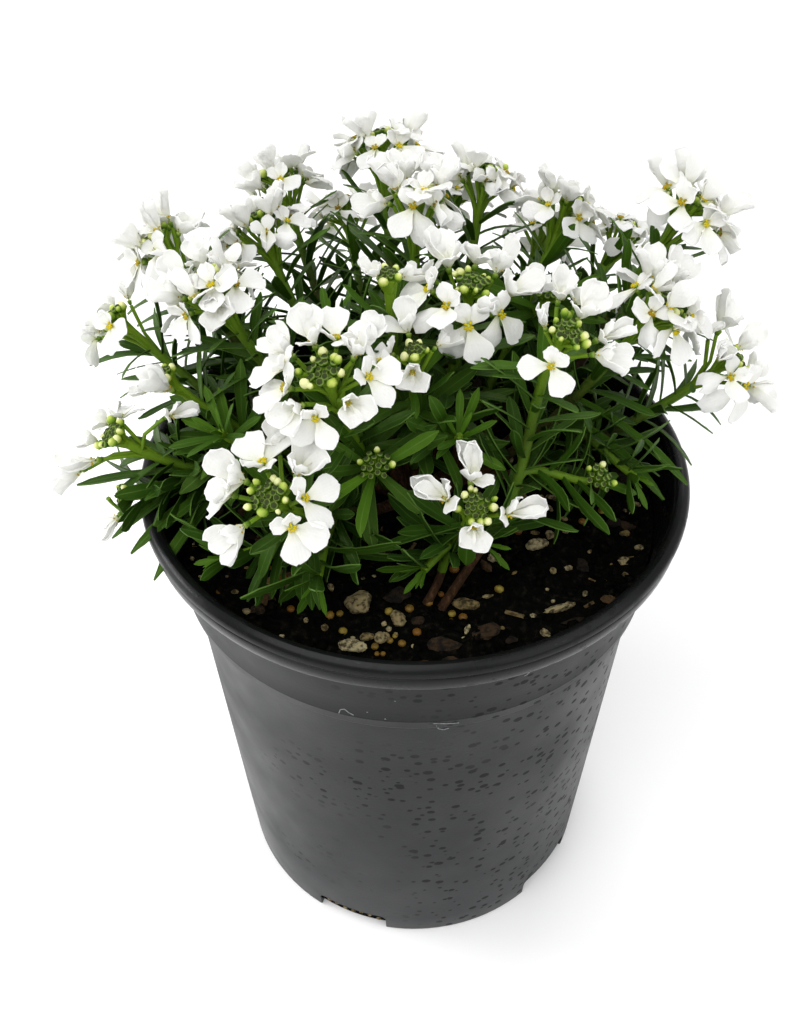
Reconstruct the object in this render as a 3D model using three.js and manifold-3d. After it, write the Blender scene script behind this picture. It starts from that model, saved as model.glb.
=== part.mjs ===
// Potted evergreen candytuft: a black nursery pot of potting mix with one bushy plant in white flower.
// Millimetres, +Z up. The origin is the middle of the pot's underside; the plant's front faces -Y.

import * as THREE from 'three';
import { mergeVertices } from 'three/addons/utils/BufferGeometryUtils.js';
import Module from 'manifold-3d';

const wasm = await Module();
wasm.setup();

// Pot
const potHeight = 175;
const rimRadius = 82.5;
const baseRadius = 64;
const bodyTopRadius = 71.6;
const stepHeight = 138;
const collarTopRadius = 76;
const collarTopHeight = 157;
const stepOut = 2.4;
const stepIn = 0.4;
const wall = 1.4;
const floorThickness = 2.2;
const skirtHeight = 9;
const bandHeight = 4.8;
const potSegments = 32;

// Drainage notches in the foot
const notchCount = 5;
const notchWidth = 26;
const notchHeight = 6;
const notchCorner = 2.5;
const notchInnerRadius = 50;
const firstNotchAngle = THREE.MathUtils.degToRad(-110.5);

// Soil
const gap = 0.3;
const soilLevel = 156;
const soilRelief = 2.2;
const soilSlope = 0.03;
const soilRings = [0.82, 0.6, 0.36];
const perliteCount = 19;
const prillCount = 6;
const barkCount = 7;

// Plant
const crownCentre = new THREE.Vector3(0, 2, soilLevel);
const frontCentre = new THREE.Vector3(5, -43, soilLevel);
const crownRadius = 9;
const frontRadius = 4.5;
const crownDepth = 16;
const rootstockRise = 3;
const rootstockTaper = 0.6;
const crownReach = 0.36;
const tipRise = 24;
const tipFall = 0.12;
const tipLift = 0.08;
const meanHeadHeight = 220;
const limbCount = 7;
const limbReach = 32;
const forkRise = 7;
const limbRadius = 2.4;
const branchRadius = 1.6;
const stemRadius = 1.5;
const stemSides = 4;
const shootRadius = 0.85 * stemRadius;
const branchBend = 0.3;
const bendShare = 0.35;
const goldenAngle = THREE.MathUtils.degToRad(137.5);

// Leaves
const leafLength = 22;
const leafWidth = 4.2;
const leafThickness = 1.4;
const leafSpacing = 4.9;
const leafClearance = 0.35;
const leafOverSoil = 5;
const leafOffWall = 4;
const leafOverRim = 6;
const stemLeaves = { from: 0.2, until: 0.93 };
const shootLeaves = { from: 0.25, until: 0.98 };

// Flower heads lean out with their distance from the plant's middle, up to a limit in degrees
const headTiltPerMillimetre = 0.5;
const mostHeadTilt = 52;
const headDroop = 0.011;
const headDepth = 4.6;
const headTop = 2.6;
const domeBudCount = 3;
const domeBudReach = 0.16;
const domeBudHeight = 2.4;
const domeBudRadius = 1.7;
const leastDomeHead = 14;
const leastDenseFlorets = 5;
const coreRadius = 3.6;

// Florets: reach of the outline every 30 degrees from the middle of the two large outer petals
const floretOutline = [5.2, 9.0, 7.6, 3.0, 4.8, 5.2, 3.4];
const floretThickness = 1.4;
const floretReach = 8.4;
const floretRaise = 1.6;
const stalkRadius = 0.9;

// Bud clusters at the tips of side shoots
const clusterBudCount = 6;
const clusterBudReach = 3.4;
const clusterBudRadius = 1.8;
const clusterCoreRadius = 3;

// Flowering stems: the middle of each head, the head's radius and its number of open florets
const blooms = [
  { at: [-44, 73, 229], radius: 16, florets: 7 },
  { at: [-73, 24, 235], radius: 14, florets: 6 },
  { at: [-47, 40, 232], radius: 17, florets: 7 },
  { at: [-56, 0, 235], radius: 16, florets: 7 },
  { at: [-86, 13, 216], radius: 13, florets: 6 },
  { at: [-69, -7, 210], radius: 9, florets: 3 },
  { at: [-84, -17, 197], radius: 14, florets: 6 },
  { at: [-22, -40, 236], radius: 20, florets: 8 },
  { at: [-36, -56, 210], radius: 18, florets: 7 },
  { at: [-7, -4, 240], radius: 9, florets: 2 },
  { at: [-10, 62, 247], radius: 18, florets: 7 },
  { at: [0, 30, 246], radius: 15, florets: 7 },
  { at: [22, 62, 236], radius: 14, florets: 6 },
  { at: [46, 46, 235], radius: 14, florets: 6 },
  { at: [67, 60, 218], radius: 12, florets: 5 },
  { at: [15, -3, 237], radius: 18, florets: 7 },
  { at: [38, -25, 237], radius: 15, florets: 6, tip: [22, -36, 178] },
  { at: [0, -22, 229], radius: 9, florets: 3 },
  { at: [78, 26, 245], radius: 17, florets: 7 },
  { at: [67, -3, 232], radius: 15, florets: 6 },
  { at: [89, 0, 211], radius: 15, florets: 6 },
  { at: [16, -49, 200], radius: 15, florets: 4, tip: [8, -39, 166] },
  { at: [-70, 56, 208], radius: 14, florets: 6 },
  { at: [-24, 91, 209], radius: 15, florets: 6 },
  { at: [11, 91, 216], radius: 14, florets: 6 },
  { at: [44, 80, 208], radius: 14, florets: 6 },
];

// Side shoots: the flowering stem they grow from, how far up it, where they end, and if they bear buds
const shoots = [
  { from: 6, start: 0.4, at: [-91, -27, 184], buds: true },
  { from: 7, start: 0.35, at: [-10, -40, 206], buds: true },
  { from: 16, start: 0.3, at: [50, -30, 193], buds: true },
  { from: 8, start: 0.3, at: [-28, -68, 182], buds: false },
  { from: 8, start: 0.2, at: [-58, -48, 181], buds: false },
  { from: 21, start: 0.3, at: [-4, -60, 180], buds: false },
  { from: 21, start: 0.35, at: [34, -52, 184], buds: false },
  { from: 19, start: 0.3, at: [70, -28, 190], buds: false },
  { from: 17, start: 0.4, at: [12, -30, 208], buds: false },
  { from: 5, start: 0.4, at: [-52, -26, 206], buds: false },
  { from: 9, start: 0.45, at: [-24, 2, 222], buds: false },
  { from: 13, start: 0.45, at: [38, 18, 220], buds: true },
  { from: 24, start: 0.3, at: [-6, 78, 190], buds: false },
  { from: 22, start: 0.3, at: [-70, 46, 188], buds: false },
  { from: 14, start: 0.3, at: [82, 44, 194], buds: false },
  { from: 25, start: 0.3, at: [60, 74, 186], buds: false },
];

// Repeatable draws between 0 and 1
let drawState = 4927;
function draw() {
  drawState = (drawState * 16807) % 2147483647;
  return drawState / 2147483647;
}
function drawBetween(low, high) {
  return low + (high - low) * draw();
}

// A three.js shape as a closed solid: shared corners merged, flat triangles dropped, faces turned outwards
function toSolid(geometry) {
  const bare = geometry.clone();
  bare.deleteAttribute('normal');
  bare.deleteAttribute('uv');
  const merged = mergeVertices(bare, 1e-3);
  const corners = merged.attributes.position.array;
  const index = merged.index.array;
  const triangles = [];
  let volume = 0;
  for (let i = 0; i < index.length; i += 3) {
    const [a, b, c] = [index[i], index[i + 1], index[i + 2]];
    if (a === b || b === c || c === a) continue;
    const p = new THREE.Vector3().fromArray(corners, 3 * a);
    const q = new THREE.Vector3().fromArray(corners, 3 * b);
    const r = new THREE.Vector3().fromArray(corners, 3 * c);
    volume += p.dot(q.cross(r));
    triangles.push(a, b, c);
  }
  if (volume < 0) triangles.reverse();
  return new wasm.Manifold(new wasm.Mesh({
    numProp: 3,
    vertProperties: new Float32Array(corners),
    triVerts: new Uint32Array(triangles),
  }));
}

// The largest connected body of a solid, so that no loose scrap stays in a piece
function mainBody(solid) {
  const bodies = solid.decompose();
  bodies.sort((one, other) => other.volume() - one.volume());
  return bodies[0];
}

function toGeometry(solid) {
  const mesh = solid.getMesh();
  const geometry = new THREE.BufferGeometry();
  geometry.setAttribute('position', new THREE.BufferAttribute(mesh.vertProperties, mesh.numProp));
  geometry.setIndex(new THREE.BufferAttribute(mesh.triVerts, 1));
  geometry.computeVertexNormals();
  return geometry;
}

// Moves every corner of a shape to the place that a rule gives it
function reshape(geometry, rule) {
  const position = geometry.attributes.position;
  for (let i = 0; i < position.count; i++) {
    const moved = rule(new THREE.Vector3().fromBufferAttribute(position, i));
    position.setXYZ(i, moved.x, moved.y, moved.z);
  }
  return geometry;
}

// A body of revolution about Z from its profile of radius and height
function turned(profile, segments) {
  const points = profile.map(([radius, height]) => new THREE.Vector2(radius, height));
  return new THREE.LatheGeometry(points, segments).rotateX(Math.PI / 2);
}

function tube(path, radius, steps, sides) {
  const section = new THREE.Shape();
  for (let i = 0; i < sides; i++) {
    const angle = (2 * Math.PI * i) / sides;
    const corner = [radius * Math.cos(angle), radius * Math.sin(angle)];
    if (i === 0) section.moveTo(...corner);
    else section.lineTo(...corner);
  }
  return new THREE.ExtrudeGeometry(section, { steps, bevelEnabled: false, extrudePath: path });
}

// Solids that are kept, with the node that each belongs to, so that a new blade can be tested against them
const kept = [];
function boxesMeet(a, b) {
  return [0, 1, 2].every((k) => a.min[k] <= b.max[k] && b.min[k] <= a.max[k]);
}
function isClear(solid, matters) {
  const box = solid.boundingBox();
  return kept.every((other) => !matters(other) || !boxesMeet(box, other.box)
    || solid.intersect(other.solid).isEmpty());
}
function keep(solid, owner, kind) {
  kept.push({ solid, owner, kind, box: solid.boundingBox() });
}
function otherThan(owner) {
  return (other) => other.owner !== owner;
}

// Pot: body, stepped collar and rolled rim turned in one piece, with notches cut in the foot
function innerRadius(height) {
  if (height < stepHeight) {
    return baseRadius + (bodyTopRadius - baseRadius) * (height / stepHeight) - wall;
  }
  const rise = (height - stepHeight) / (collarTopHeight - stepHeight);
  const lowest = bodyTopRadius + stepIn;
  return lowest + (collarTopRadius - wall - lowest) * rise;
}

function makePot() {
  const rimTop = potHeight;
  const profile = [
    [0, 0],
    [baseRadius - 1.2, 0],
    [baseRadius, 1.2],
    [bodyTopRadius, stepHeight - 0.5],
    [bodyTopRadius + stepOut, stepHeight + 1.2],
    [collarTopRadius, collarTopHeight],
    [collarTopRadius + 1.2, rimTop - skirtHeight - 0.5],
    [rimRadius - 0.9, rimTop - skirtHeight],
    [rimRadius - 0.4, rimTop - bandHeight],
    [rimRadius - 0.8, rimTop - bandHeight + 0.4],
    [rimRadius, rimTop - bandHeight + 1],
    [rimRadius - 0.3, rimTop - 1.2],
    [rimRadius - 2, rimTop],
    [rimRadius - 4, rimTop - 0.8],
    [rimRadius - 4.8, rimTop - 3],
    [innerRadius(collarTopHeight) + 1, rimTop - 13],
    [innerRadius(collarTopHeight), collarTopHeight],
    [innerRadius(stepHeight), stepHeight + 1.6],
    [bodyTopRadius - wall, stepHeight - 1.2],
    [innerRadius(floorThickness), floorThickness],
    [0, floorThickness],
  ];
  let pot = toSolid(turned(profile, potSegments));
  for (let i = 0; i < notchCount; i++) {
    pot = pot.subtract(toSolid(notchCutter(firstNotchAngle + (2 * Math.PI * i) / notchCount)));
  }
  return pot;
}

function notchCutter(angle) {
  const half = notchWidth / 2;
  const opening = new THREE.Shape();
  opening.moveTo(-half, -notchHeight);
  opening.lineTo(half, -notchHeight);
  opening.lineTo(half, notchHeight - notchCorner);
  opening.lineTo(half - notchCorner, notchHeight);
  opening.lineTo(-half + notchCorner, notchHeight);
  opening.lineTo(-half, notchHeight - notchCorner);
  const depth = baseRadius + 5 - notchInnerRadius;
  return new THREE.ExtrudeGeometry(opening, { depth, bevelEnabled: false })
    .rotateX(Math.PI / 2)
    .translate(0, notchInnerRadius + depth, 0)
    .rotateZ(angle - Math.PI / 2);
}

// Soil: fills the pot to 18 mm below its rim, with an uneven top and a plain hole for the crown
function soilTop(x, y) {
  const hollows = Math.sin(0.11 * x + 0.7) * Math.cos(0.09 * y - 0.4);
  const ripples = 0.5 * Math.sin(0.23 * x - 0.19 * y);
  return soilLevel + soilRelief * (hollows + ripples) - soilSlope * Math.max(0, x - 20);
}

function makeSoil() {
  const bottom = floorThickness + gap;
  const rim = innerRadius(soilLevel) - gap;
  const profile = [
    [0, bottom],
    [innerRadius(bottom) - gap - 0.1, bottom],
    [bodyTopRadius - wall - gap, stepHeight - 1.4],
    [innerRadius(stepHeight) - gap, stepHeight + 2],
    [rim, soilLevel],
    ...soilRings.map((share) => [rim * share, soilLevel]),
    [0, soilLevel],
  ];
  const body = reshape(turned(profile, potSegments), (p) => {
    const radius = Math.hypot(p.x, p.y);
    if (p.z < soilLevel - 1 || radius > rim - 1) return p;
    return p.setZ(soilTop(p.x, p.y));
  });
  let soil = toSolid(body);
  for (const piece of soilPieces(rim)) soil = soil.add(piece);
  for (const [centre, radius] of [[crownCentre, crownRadius], [frontCentre, frontRadius]]) {
    soil = soil.subtract(toSolid(upright(centre, radius + gap, radius + gap, 2 * crownDepth)));
  }
  return mainBody(soil);
}

function upright(centre, topRadius, bottomRadius, height) {
  return new THREE.CylinderGeometry(topRadius, bottomRadius, height, 10)
    .rotateX(Math.PI / 2)
    .translate(centre.x, centre.y, centre.z);
}

// Perlite, prills and bark lie half sunk in the soil, off the crown and off the wall
function soilPieces(rim) {
  const kinds = [
    { count: perliteCount, make: () => new THREE.OctahedronGeometry(1), size: [2, 3.6], squash: 0.7 },
    { count: prillCount, make: () => new THREE.OctahedronGeometry(1), size: [1.5, 1.9], squash: 1 },
    { count: barkCount, make: () => new THREE.BoxGeometry(2, 1.1, 0.7), size: [3.5, 6], squash: 1 },
  ];
  const pieces = [];
  for (const kind of kinds) {
    for (let i = 0; i < kind.count; i++) {
      const size = drawBetween(...kind.size);
      const radius = Math.sqrt(drawBetween(0.06, 1)) * (rim - size - 3);
      const angle = drawBetween(0, 2 * Math.PI);
      const x = radius * Math.cos(angle);
      const y = radius * Math.sin(angle);
      const turn = drawBetween(0, Math.PI);
      if (isOnCrown(x, y, size + 2)) continue;
      const shape = kind.make().scale(size, size * 0.85, size * kind.squash)
        .rotateX(0.3 * Math.sin(turn)).rotateZ(turn)
        .translate(x, y, soilTop(x, y) + 0.25 * size);
      pieces.push(toSolid(shape));
    }
  }
  return pieces;
}

function isOnCrown(x, y, margin) {
  return Math.hypot(x - crownCentre.x, y - crownCentre.y) < crownRadius + margin
    || Math.hypot(x - frontCentre.x, y - frontCentre.y) < frontRadius + margin;
}

// Each stem's line: it leaves the crown's tip outwards and ends upright in the head's own direction
function headAxis(at) {
  const reach = Math.hypot(at[0], at[1]);
  const tilt = THREE.MathUtils.degToRad(Math.min(mostHeadTilt, reach * headTiltPerMillimetre));
  const out = new THREE.Vector3(at[0], at[1], 0).divideScalar(Math.max(reach, 1));
  return out.multiplyScalar(Math.sin(tilt)).setZ(Math.cos(tilt));
}

function crownTip(bloom) {
  if (bloom.tip) return new THREE.Vector3(...bloom.tip);
  const [x, y, z] = bloom.at;
  const rise = tipRise - tipFall * Math.hypot(x, y) + tipLift * (z - meanHeadHeight);
  return new THREE.Vector3(crownReach * x, crownReach * y, soilLevel + rise);
}

function bentLine(start, startAxis, end, endAxis) {
  const length = start.distanceTo(end);
  const first = start.clone().addScaledVector(startAxis, bendShare * length);
  const second = end.clone().addScaledVector(endAxis, -bendShare * length);
  return new THREE.CubicBezierCurve3(start, first, second, end);
}

function tipAxis(bloom) {
  const root = bloom.tip ? frontCentre : crownCentre;
  return crownTip(bloom).sub(root).add(new THREE.Vector3(0, 0, 6)).normalize();
}

function stemLine(bloom) {
  const axis = headAxis(bloom.at);
  const end = new THREE.Vector3(...bloom.at).addScaledVector(axis, -headDepth);
  return bentLine(crownTip(bloom), tipAxis(bloom), end, axis);
}

// Crown: a rootstock in its hole, limbs that fork, and a woody branch out to the foot of each leafy stem
function rootstock(centre, radius) {
  const height = crownDepth + rootstockRise;
  const middle = centre.clone().setZ(soilLevel - crownDepth + gap + height / 2);
  return toSolid(upright(middle, rootstockTaper * radius, radius, height));
}

function limbOf(bloom) {
  const turn = Math.atan2(bloom.at[1], bloom.at[0]) / (2 * Math.PI) + 1;
  return Math.floor(turn * limbCount) % limbCount;
}

function isOuter(bloom) {
  return Math.hypot(bloom.at[0], bloom.at[1]) > limbReach;
}

function makeCrown() {
  let crown = rootstock(crownCentre, crownRadius);
  const middle = crownCentre.clone().setZ(soilLevel - 2);
  const central = blooms.filter((bloom) => !bloom.tip);
  for (let limb = 0; limb < limbCount; limb++) {
    const outer = central.filter((bloom) => limbOf(bloom) === limb && isOuter(bloom));
    if (outer.length === 0) continue;
    const fork = new THREE.Vector3();
    for (const bloom of outer) fork.add(crownTip(bloom).divideScalar(outer.length));
    fork.lerp(crownCentre, 0.5).setZ(soilLevel + forkRise);
    crown = crown.add(toSolid(tube(new THREE.LineCurve3(middle, fork), limbRadius, 1, stemSides)));
    for (const bloom of outer) crown = crown.add(branchTo(bloom, fork));
  }
  for (const bloom of central) {
    if (!isOuter(bloom)) crown = crown.add(branchTo(bloom, middle));
  }
  return mainBody(crown);
}

function branchTo(bloom, fork) {
  const axis = tipAxis(bloom);
  const tip = crownTip(bloom).addScaledVector(axis, -gap);
  const bend = tip.clone().addScaledVector(axis, -branchBend * tip.distanceTo(fork));
  const line = new THREE.QuadraticBezierCurve3(fork, bend, tip);
  return toSolid(tube(line, branchRadius, 2, stemSides));
}

function makeFrontCrown() {
  let crown = rootstock(frontCentre, frontRadius);
  const middle = frontCentre.clone().setZ(soilLevel - 3);
  for (const bloom of blooms.filter((each) => each.tip)) crown = crown.add(branchTo(bloom, middle));
  return mainBody(crown);
}

// Leaf: a thin lens drawn out into a narrow spoon-shaped blade, with its root in the stem and a blunt tip
const leafOutline = [
  { along: 0, across: 0 },
  { along: 0.62, across: 1 },
  { along: 0.98, across: 0.45 },
  { along: 0.98, across: -0.45 },
  { along: 0.62, across: -1 },
];
const leafArch = -0.1;
function leafShape(root, along, up, length, extra) {
  const side = along.clone().cross(up).normalize();
  const top = side.clone().cross(along).normalize();
  const corners = leafOutline.length;
  return reshape(new THREE.SphereGeometry(1, corners, 2), (p) => {
    const pole = Math.abs(p.y) > 0.5;
    const turn = Math.round((Math.atan2(p.z, -p.x) * corners) / (2 * Math.PI) + corners) % corners;
    const corner = pole ? { along: 0.6, across: 0 } : leafOutline[turn];
    const reach = corner.along * (length + extra);
    const thick = pole ? Math.sign(p.y) * (0.5 * leafThickness + extra) : 0;
    return root.clone()
      .addScaledVector(along, reach)
      .addScaledVector(top, leafArch * length * corner.along ** 2 + thick)
      .addScaledVector(side, corner.across * (0.5 * leafWidth + extra));
  });
}

// Leaves climb a stem in the golden-angle spiral; one that would cross another piece is turned or raised
const leafTurns = [0, 0.35, -0.35, 0.7, -0.7];
const leafAngles = [58, 42, 74];
const spiralStart = new THREE.Vector3(0.31, 0.2, 0.93);
function leavesOn(line, owner, { from, until }, tipLeaves) {
  const length = line.getLength();
  const count = Math.max(3, Math.round(((until - from) * length) / leafSpacing));
  const phase = drawBetween(0, 2 * Math.PI);
  const leaves = [];
  for (let i = 0; i < count; i++) {
    const place = from + ((until - from) * (i + 0.5)) / count;
    const shorter = tipLeaves ? 1 : 1 - 0.35 * Math.max(0, place - 0.6);
    const size = leafLength * shorter * drawBetween(0.85, 1.12);
    const leaf = clearLeaf(line, place, phase + i * goldenAngle, size, owner);
    if (leaf) leaves.push(leaf);
  }
  return leaves;
}

function reachesSoilOrWall(tip) {
  const isOverWall = Math.hypot(tip.x, tip.y) > innerRadius(soilLevel) - leafOffWall;
  return tip.z < soilLevel + leafOverSoil || (isOverWall && tip.z < potHeight + leafOverRim);
}

function clearLeaf(line, place, turn, size, owner) {
  const centre = line.getPointAt(place);
  const axis = line.getTangentAt(place);
  const across = axis.clone().cross(spiralStart).normalize();
  const other = axis.clone().cross(across);
  for (const angle of leafAngles) {
    for (const extraTurn of leafTurns) {
      const round = turn + extraTurn;
      const out = across.clone().multiplyScalar(Math.cos(round)).addScaledVector(other, Math.sin(round));
      const lean = THREE.MathUtils.degToRad(angle);
      const along = axis.clone().multiplyScalar(Math.cos(lean)).addScaledVector(out, Math.sin(lean));
      const up = axis.clone().multiplyScalar(Math.sin(lean)).addScaledVector(out, -Math.cos(lean));
      if (reachesSoilOrWall(centre.clone().addScaledVector(along, size))) continue;
      const test = toSolid(leafShape(centre, along, up, size, leafClearance));
      if (!isClear(test, otherThan(owner))) continue;
      const leaf = toSolid(leafShape(centre, along, up, size, 0));
      keep(leaf, owner);
      return leaf;
    }
  }
  return null;
}

// Floret: a flat lens whose rim is drawn out into two long outer petals and two short inner ones
function floretShape(centre, outward, normal, size, extra) {
  const side = normal.clone().cross(outward).normalize();
  return reshape(new THREE.SphereGeometry(1, 12, 2), (p) => {
    if (Math.abs(p.y) > 0.5) {
      const lift = Math.sign(p.y) * (0.5 * floretThickness + extra);
      return centre.clone().addScaledVector(normal, lift);
    }
    const angle = Math.atan2(p.z, p.x);
    const step = Math.round(Math.abs(angle) / (Math.PI / 6));
    const reach = floretOutline[step] * size + extra;
    const cup = step % 2 === 1 ? 0.1 : 0;
    return centre.clone()
      .addScaledVector(outward, reach * Math.cos(angle))
      .addScaledVector(side, reach * Math.sin(angle))
      .addScaledVector(normal, cup * reach);
  });
}

// Dense flower head: one ruffled sheet cut into the petal pairs of its florets. Its middle rises in a ring
// of short inner petals round the bud dome, and the cone of the flower stalks closes it below
const petalPair = [
  { turn: -1, reach: 0.66, lift: -1.3 },
  { turn: -0.8, reach: 0.95, lift: 1 },
  { turn: -0.28, reach: 1, lift: 0.8 },
  { turn: 0, reach: 0.76, lift: -0.6 },
  { turn: 0.28, reach: 1, lift: -0.5 },
  { turn: 0.8, reach: 0.93, lift: 0.5 },
];
const innerPetals = [
  { turn: -0.5, reach: 0.5, lift: 2.4 },
  { turn: 0.5, reach: 0.4, lift: 0.9 },
];
const petalFoot = { turn: 0, reach: 0.42, lift: -1.4 };

function headSheet(frame, radius, phase, florets, extra) {
  const corners = [frame(0, 0, headTop + extra), frame(0, 0, gap - headDepth)];
  const place = ({ turn, reach, lift }, i, droop, spare) => {
    const distance = reach * radius + spare;
    const angle = phase + ((2 * i + turn) * Math.PI) / florets;
    return corners.push(frame(distance, angle, lift - droop * distance * distance)) - 1;
  };
  const rim = [];
  const inner = [];
  const under = [];
  for (let i = 0; i < florets; i++) {
    for (const petal of innerPetals) inner.push(place({ ...petal, lift: petal.lift + extra }, i, 0, 0));
    under.push(place({ ...petalFoot, lift: petalFoot.lift - extra }, i, 0, 0));
    for (const petal of petalPair) rim.push(place(petal, i, headDroop, extra));
  }
  const index = [];
  for (let i = 0; i < inner.length; i++) {
    const next = (i + 1) % inner.length;
    index.push(0, inner[i], inner[next]);
    for (let k = 0; k < 3; k++) {
      index.push(inner[i], rim[3 * i + k], rim[(3 * i + k + 1) % rim.length]);
    }
    index.push(inner[i], rim[(3 * i + 3) % rim.length], inner[next]);
  }
  for (let i = 0; i < under.length; i++) {
    const next = (i + 1) % under.length;
    index.push(1, under[next], under[i]);
    for (let k = 0; k < 6; k++) {
      index.push(under[i], rim[(6 * i + k + 1) % rim.length], rim[6 * i + k]);
    }
    index.push(under[i], under[next], rim[(6 * i + 6) % rim.length]);
  }
  return new THREE.BufferGeometry().setFromPoints(corners).setIndex(index);
}

function makeHead(bloom, owner) {
  const axis = headAxis(bloom.at);
  const centre = new THREE.Vector3(...bloom.at);
  const across = axis.clone().cross(new THREE.Vector3(0, 1, 0)).normalize();
  const other = axis.clone().cross(across);
  const phase = drawBetween(0, 2 * Math.PI);
  if (bloom.florets < leastDenseFlorets) {
    return makeOpenHead(bloom, owner, { axis, centre, across, other, phase });
  }
  const frame = (radius, angle, height) => centre.clone()
    .addScaledVector(across, radius * Math.cos(angle))
    .addScaledVector(other, radius * Math.sin(angle))
    .addScaledVector(axis, height);
  let radius = bloom.radius;
  const crosses = () => !isClear(
    toSolid(headSheet(frame, radius, phase, bloom.florets, leafClearance)), otherThan(owner));
  while (crosses() && radius > 0.6 * bloom.radius) radius *= 0.95;
  let head = toSolid(headSheet(frame, radius, phase, bloom.florets, 0));
  keep(head, owner, 'head');
  for (let i = 0; i < domeBudCount && bloom.radius > leastDomeHead; i++) {
    const bud = frame(domeBudReach * radius, phase + (2 * Math.PI * i) / domeBudCount, domeBudHeight);
    head = head.add(toSolid(new THREE.OctahedronGeometry(domeBudRadius).translate(bud.x, bud.y, bud.z)));
  }
  return mainBody(head);
}

// Open flower head: separate florets on short stalks round a small dome of buds
function makeOpenHead(bloom, owner, { axis, centre, across, other, phase }) {
  const ring = Math.max(4, bloom.radius - floretReach);
  const core = reshape(new THREE.SphereGeometry(coreRadius, 6, 3), (p) => centre.clone()
    .addScaledVector(across, p.x)
    .addScaledVector(other, p.z)
    .addScaledVector(axis, p.y > -3 ? p.y : gap - headDepth));
  let head = toSolid(core);
  keep(head, owner, 'core');
  for (let i = 0; i < bloom.florets; i++) {
    const angle = phase + (2 * Math.PI * i) / bloom.florets;
    const out = across.clone().multiplyScalar(Math.cos(angle)).addScaledVector(other, Math.sin(angle));
    const floret = clearFloret(centre, axis, out, ring, drawBetween(0.95, 1.1), owner, i % 2);
    if (floret) head = head.add(floret);
  }
  return mainBody(head);
}

// Ways to set a floret, tried in turn until it crosses nothing: tilt, share of the ring's radius, and size
const floretSettings = [
  [26, 1, 1],
  [16, 1, 1],
  [38, 1, 1],
  [26, 0.9, 0.9],
  [8, 0.95, 0.9],
  [45, 0.85, 0.85],
  [26, 0.8, 0.75],
  [0, 0.8, 0.75],
];
function clearFloret(centre, axis, out, ring, size, owner, raised) {
  for (const [degrees, share, scale] of floretSettings) {
    const tilt = THREE.MathUtils.degToRad(degrees);
    const normal = axis.clone().multiplyScalar(Math.cos(tilt)).addScaledVector(out, Math.sin(tilt));
    const outward = out.clone().multiplyScalar(Math.cos(tilt)).addScaledVector(axis, -Math.sin(tilt));
    const radius = ring * share;
    const height = (raised ? floretRaise : 0) - 0.1 - (headDroop + 0.001) * radius * radius;
    const middle = centre.clone().addScaledVector(out, radius).addScaledVector(axis, height);
    const around = toSolid(floretShape(middle, outward, normal, size * scale, leafClearance));
    if (!isClear(around, otherThan(owner))) continue;
    const floret = toSolid(floretShape(middle, outward, normal, size * scale, 0));
    if (!isClear(floret, (piece) => piece.owner === owner && piece.kind === 'floret')) continue;
    keep(floret, owner, 'floret');
    const core = kept.find((piece) => piece.owner === owner && piece.kind === 'core').solid;
    if (!floret.intersect(core).isEmpty()) return floret;
    const stalk = new THREE.LineCurve3(centre, middle);
    return floret.add(toSolid(tube(stalk, stalkRadius, 1, 3)));
  }
  return null;
}

// Bud cluster: small pointed buds round the tip of a shoot
function budsAt(line) {
  const tip = line.getPointAt(1);
  const axis = line.getTangentAt(1);
  const across = axis.clone().cross(new THREE.Vector3(0, 1, 0)).normalize();
  const other = axis.clone().cross(across);
  const core = new THREE.SphereGeometry(clusterCoreRadius, 6, 3).translate(tip.x, tip.y, tip.z);
  const buds = [toSolid(core)];
  for (let i = 0; i < clusterBudCount; i++) {
    const angle = (2 * Math.PI * i) / clusterBudCount;
    const place = tip.clone()
      .addScaledVector(across, clusterBudReach * Math.cos(angle))
      .addScaledVector(other, clusterBudReach * Math.sin(angle))
      .addScaledVector(axis, 1.2);
    const bud = new THREE.OctahedronGeometry(clusterBudRadius).translate(place.x, place.y, place.z);
    buds.push(toSolid(bud));
  }
  return buds;
}

const candytuft = new THREE.Group();
function addNode(name, solid, look) {
  const mesh = new THREE.Mesh(toGeometry(solid), new THREE.MeshStandardMaterial(look));
  mesh.name = name;
  candytuft.add(mesh);
}

const black = { color: 0x2b2d2f, roughness: 0.45, metalness: 0 };
const earth = { color: 0x2a201a, roughness: 0.95, metalness: 0 };
const bark = { color: 0x5d4030, roughness: 0.85, metalness: 0 };
const green = { color: 0x35592b, roughness: 0.6, metalness: 0 };
const white = { color: 0xf3f4ef, roughness: 0.55, metalness: 0 };

const pot = makePot();
const soil = makeSoil();
const crown = makeCrown();
const frontCrown = makeFrontCrown();
keep(pot, 'pot');
keep(soil, 'soil');
keep(crown, 'crown');
keep(frontCrown, 'front crown');
addNode('pot', pot, black);
addNode('soil', soil, earth);
addNode('woody_crown', crown, bark);
addNode('woody_crown_front', frontCrown, bark);

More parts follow.
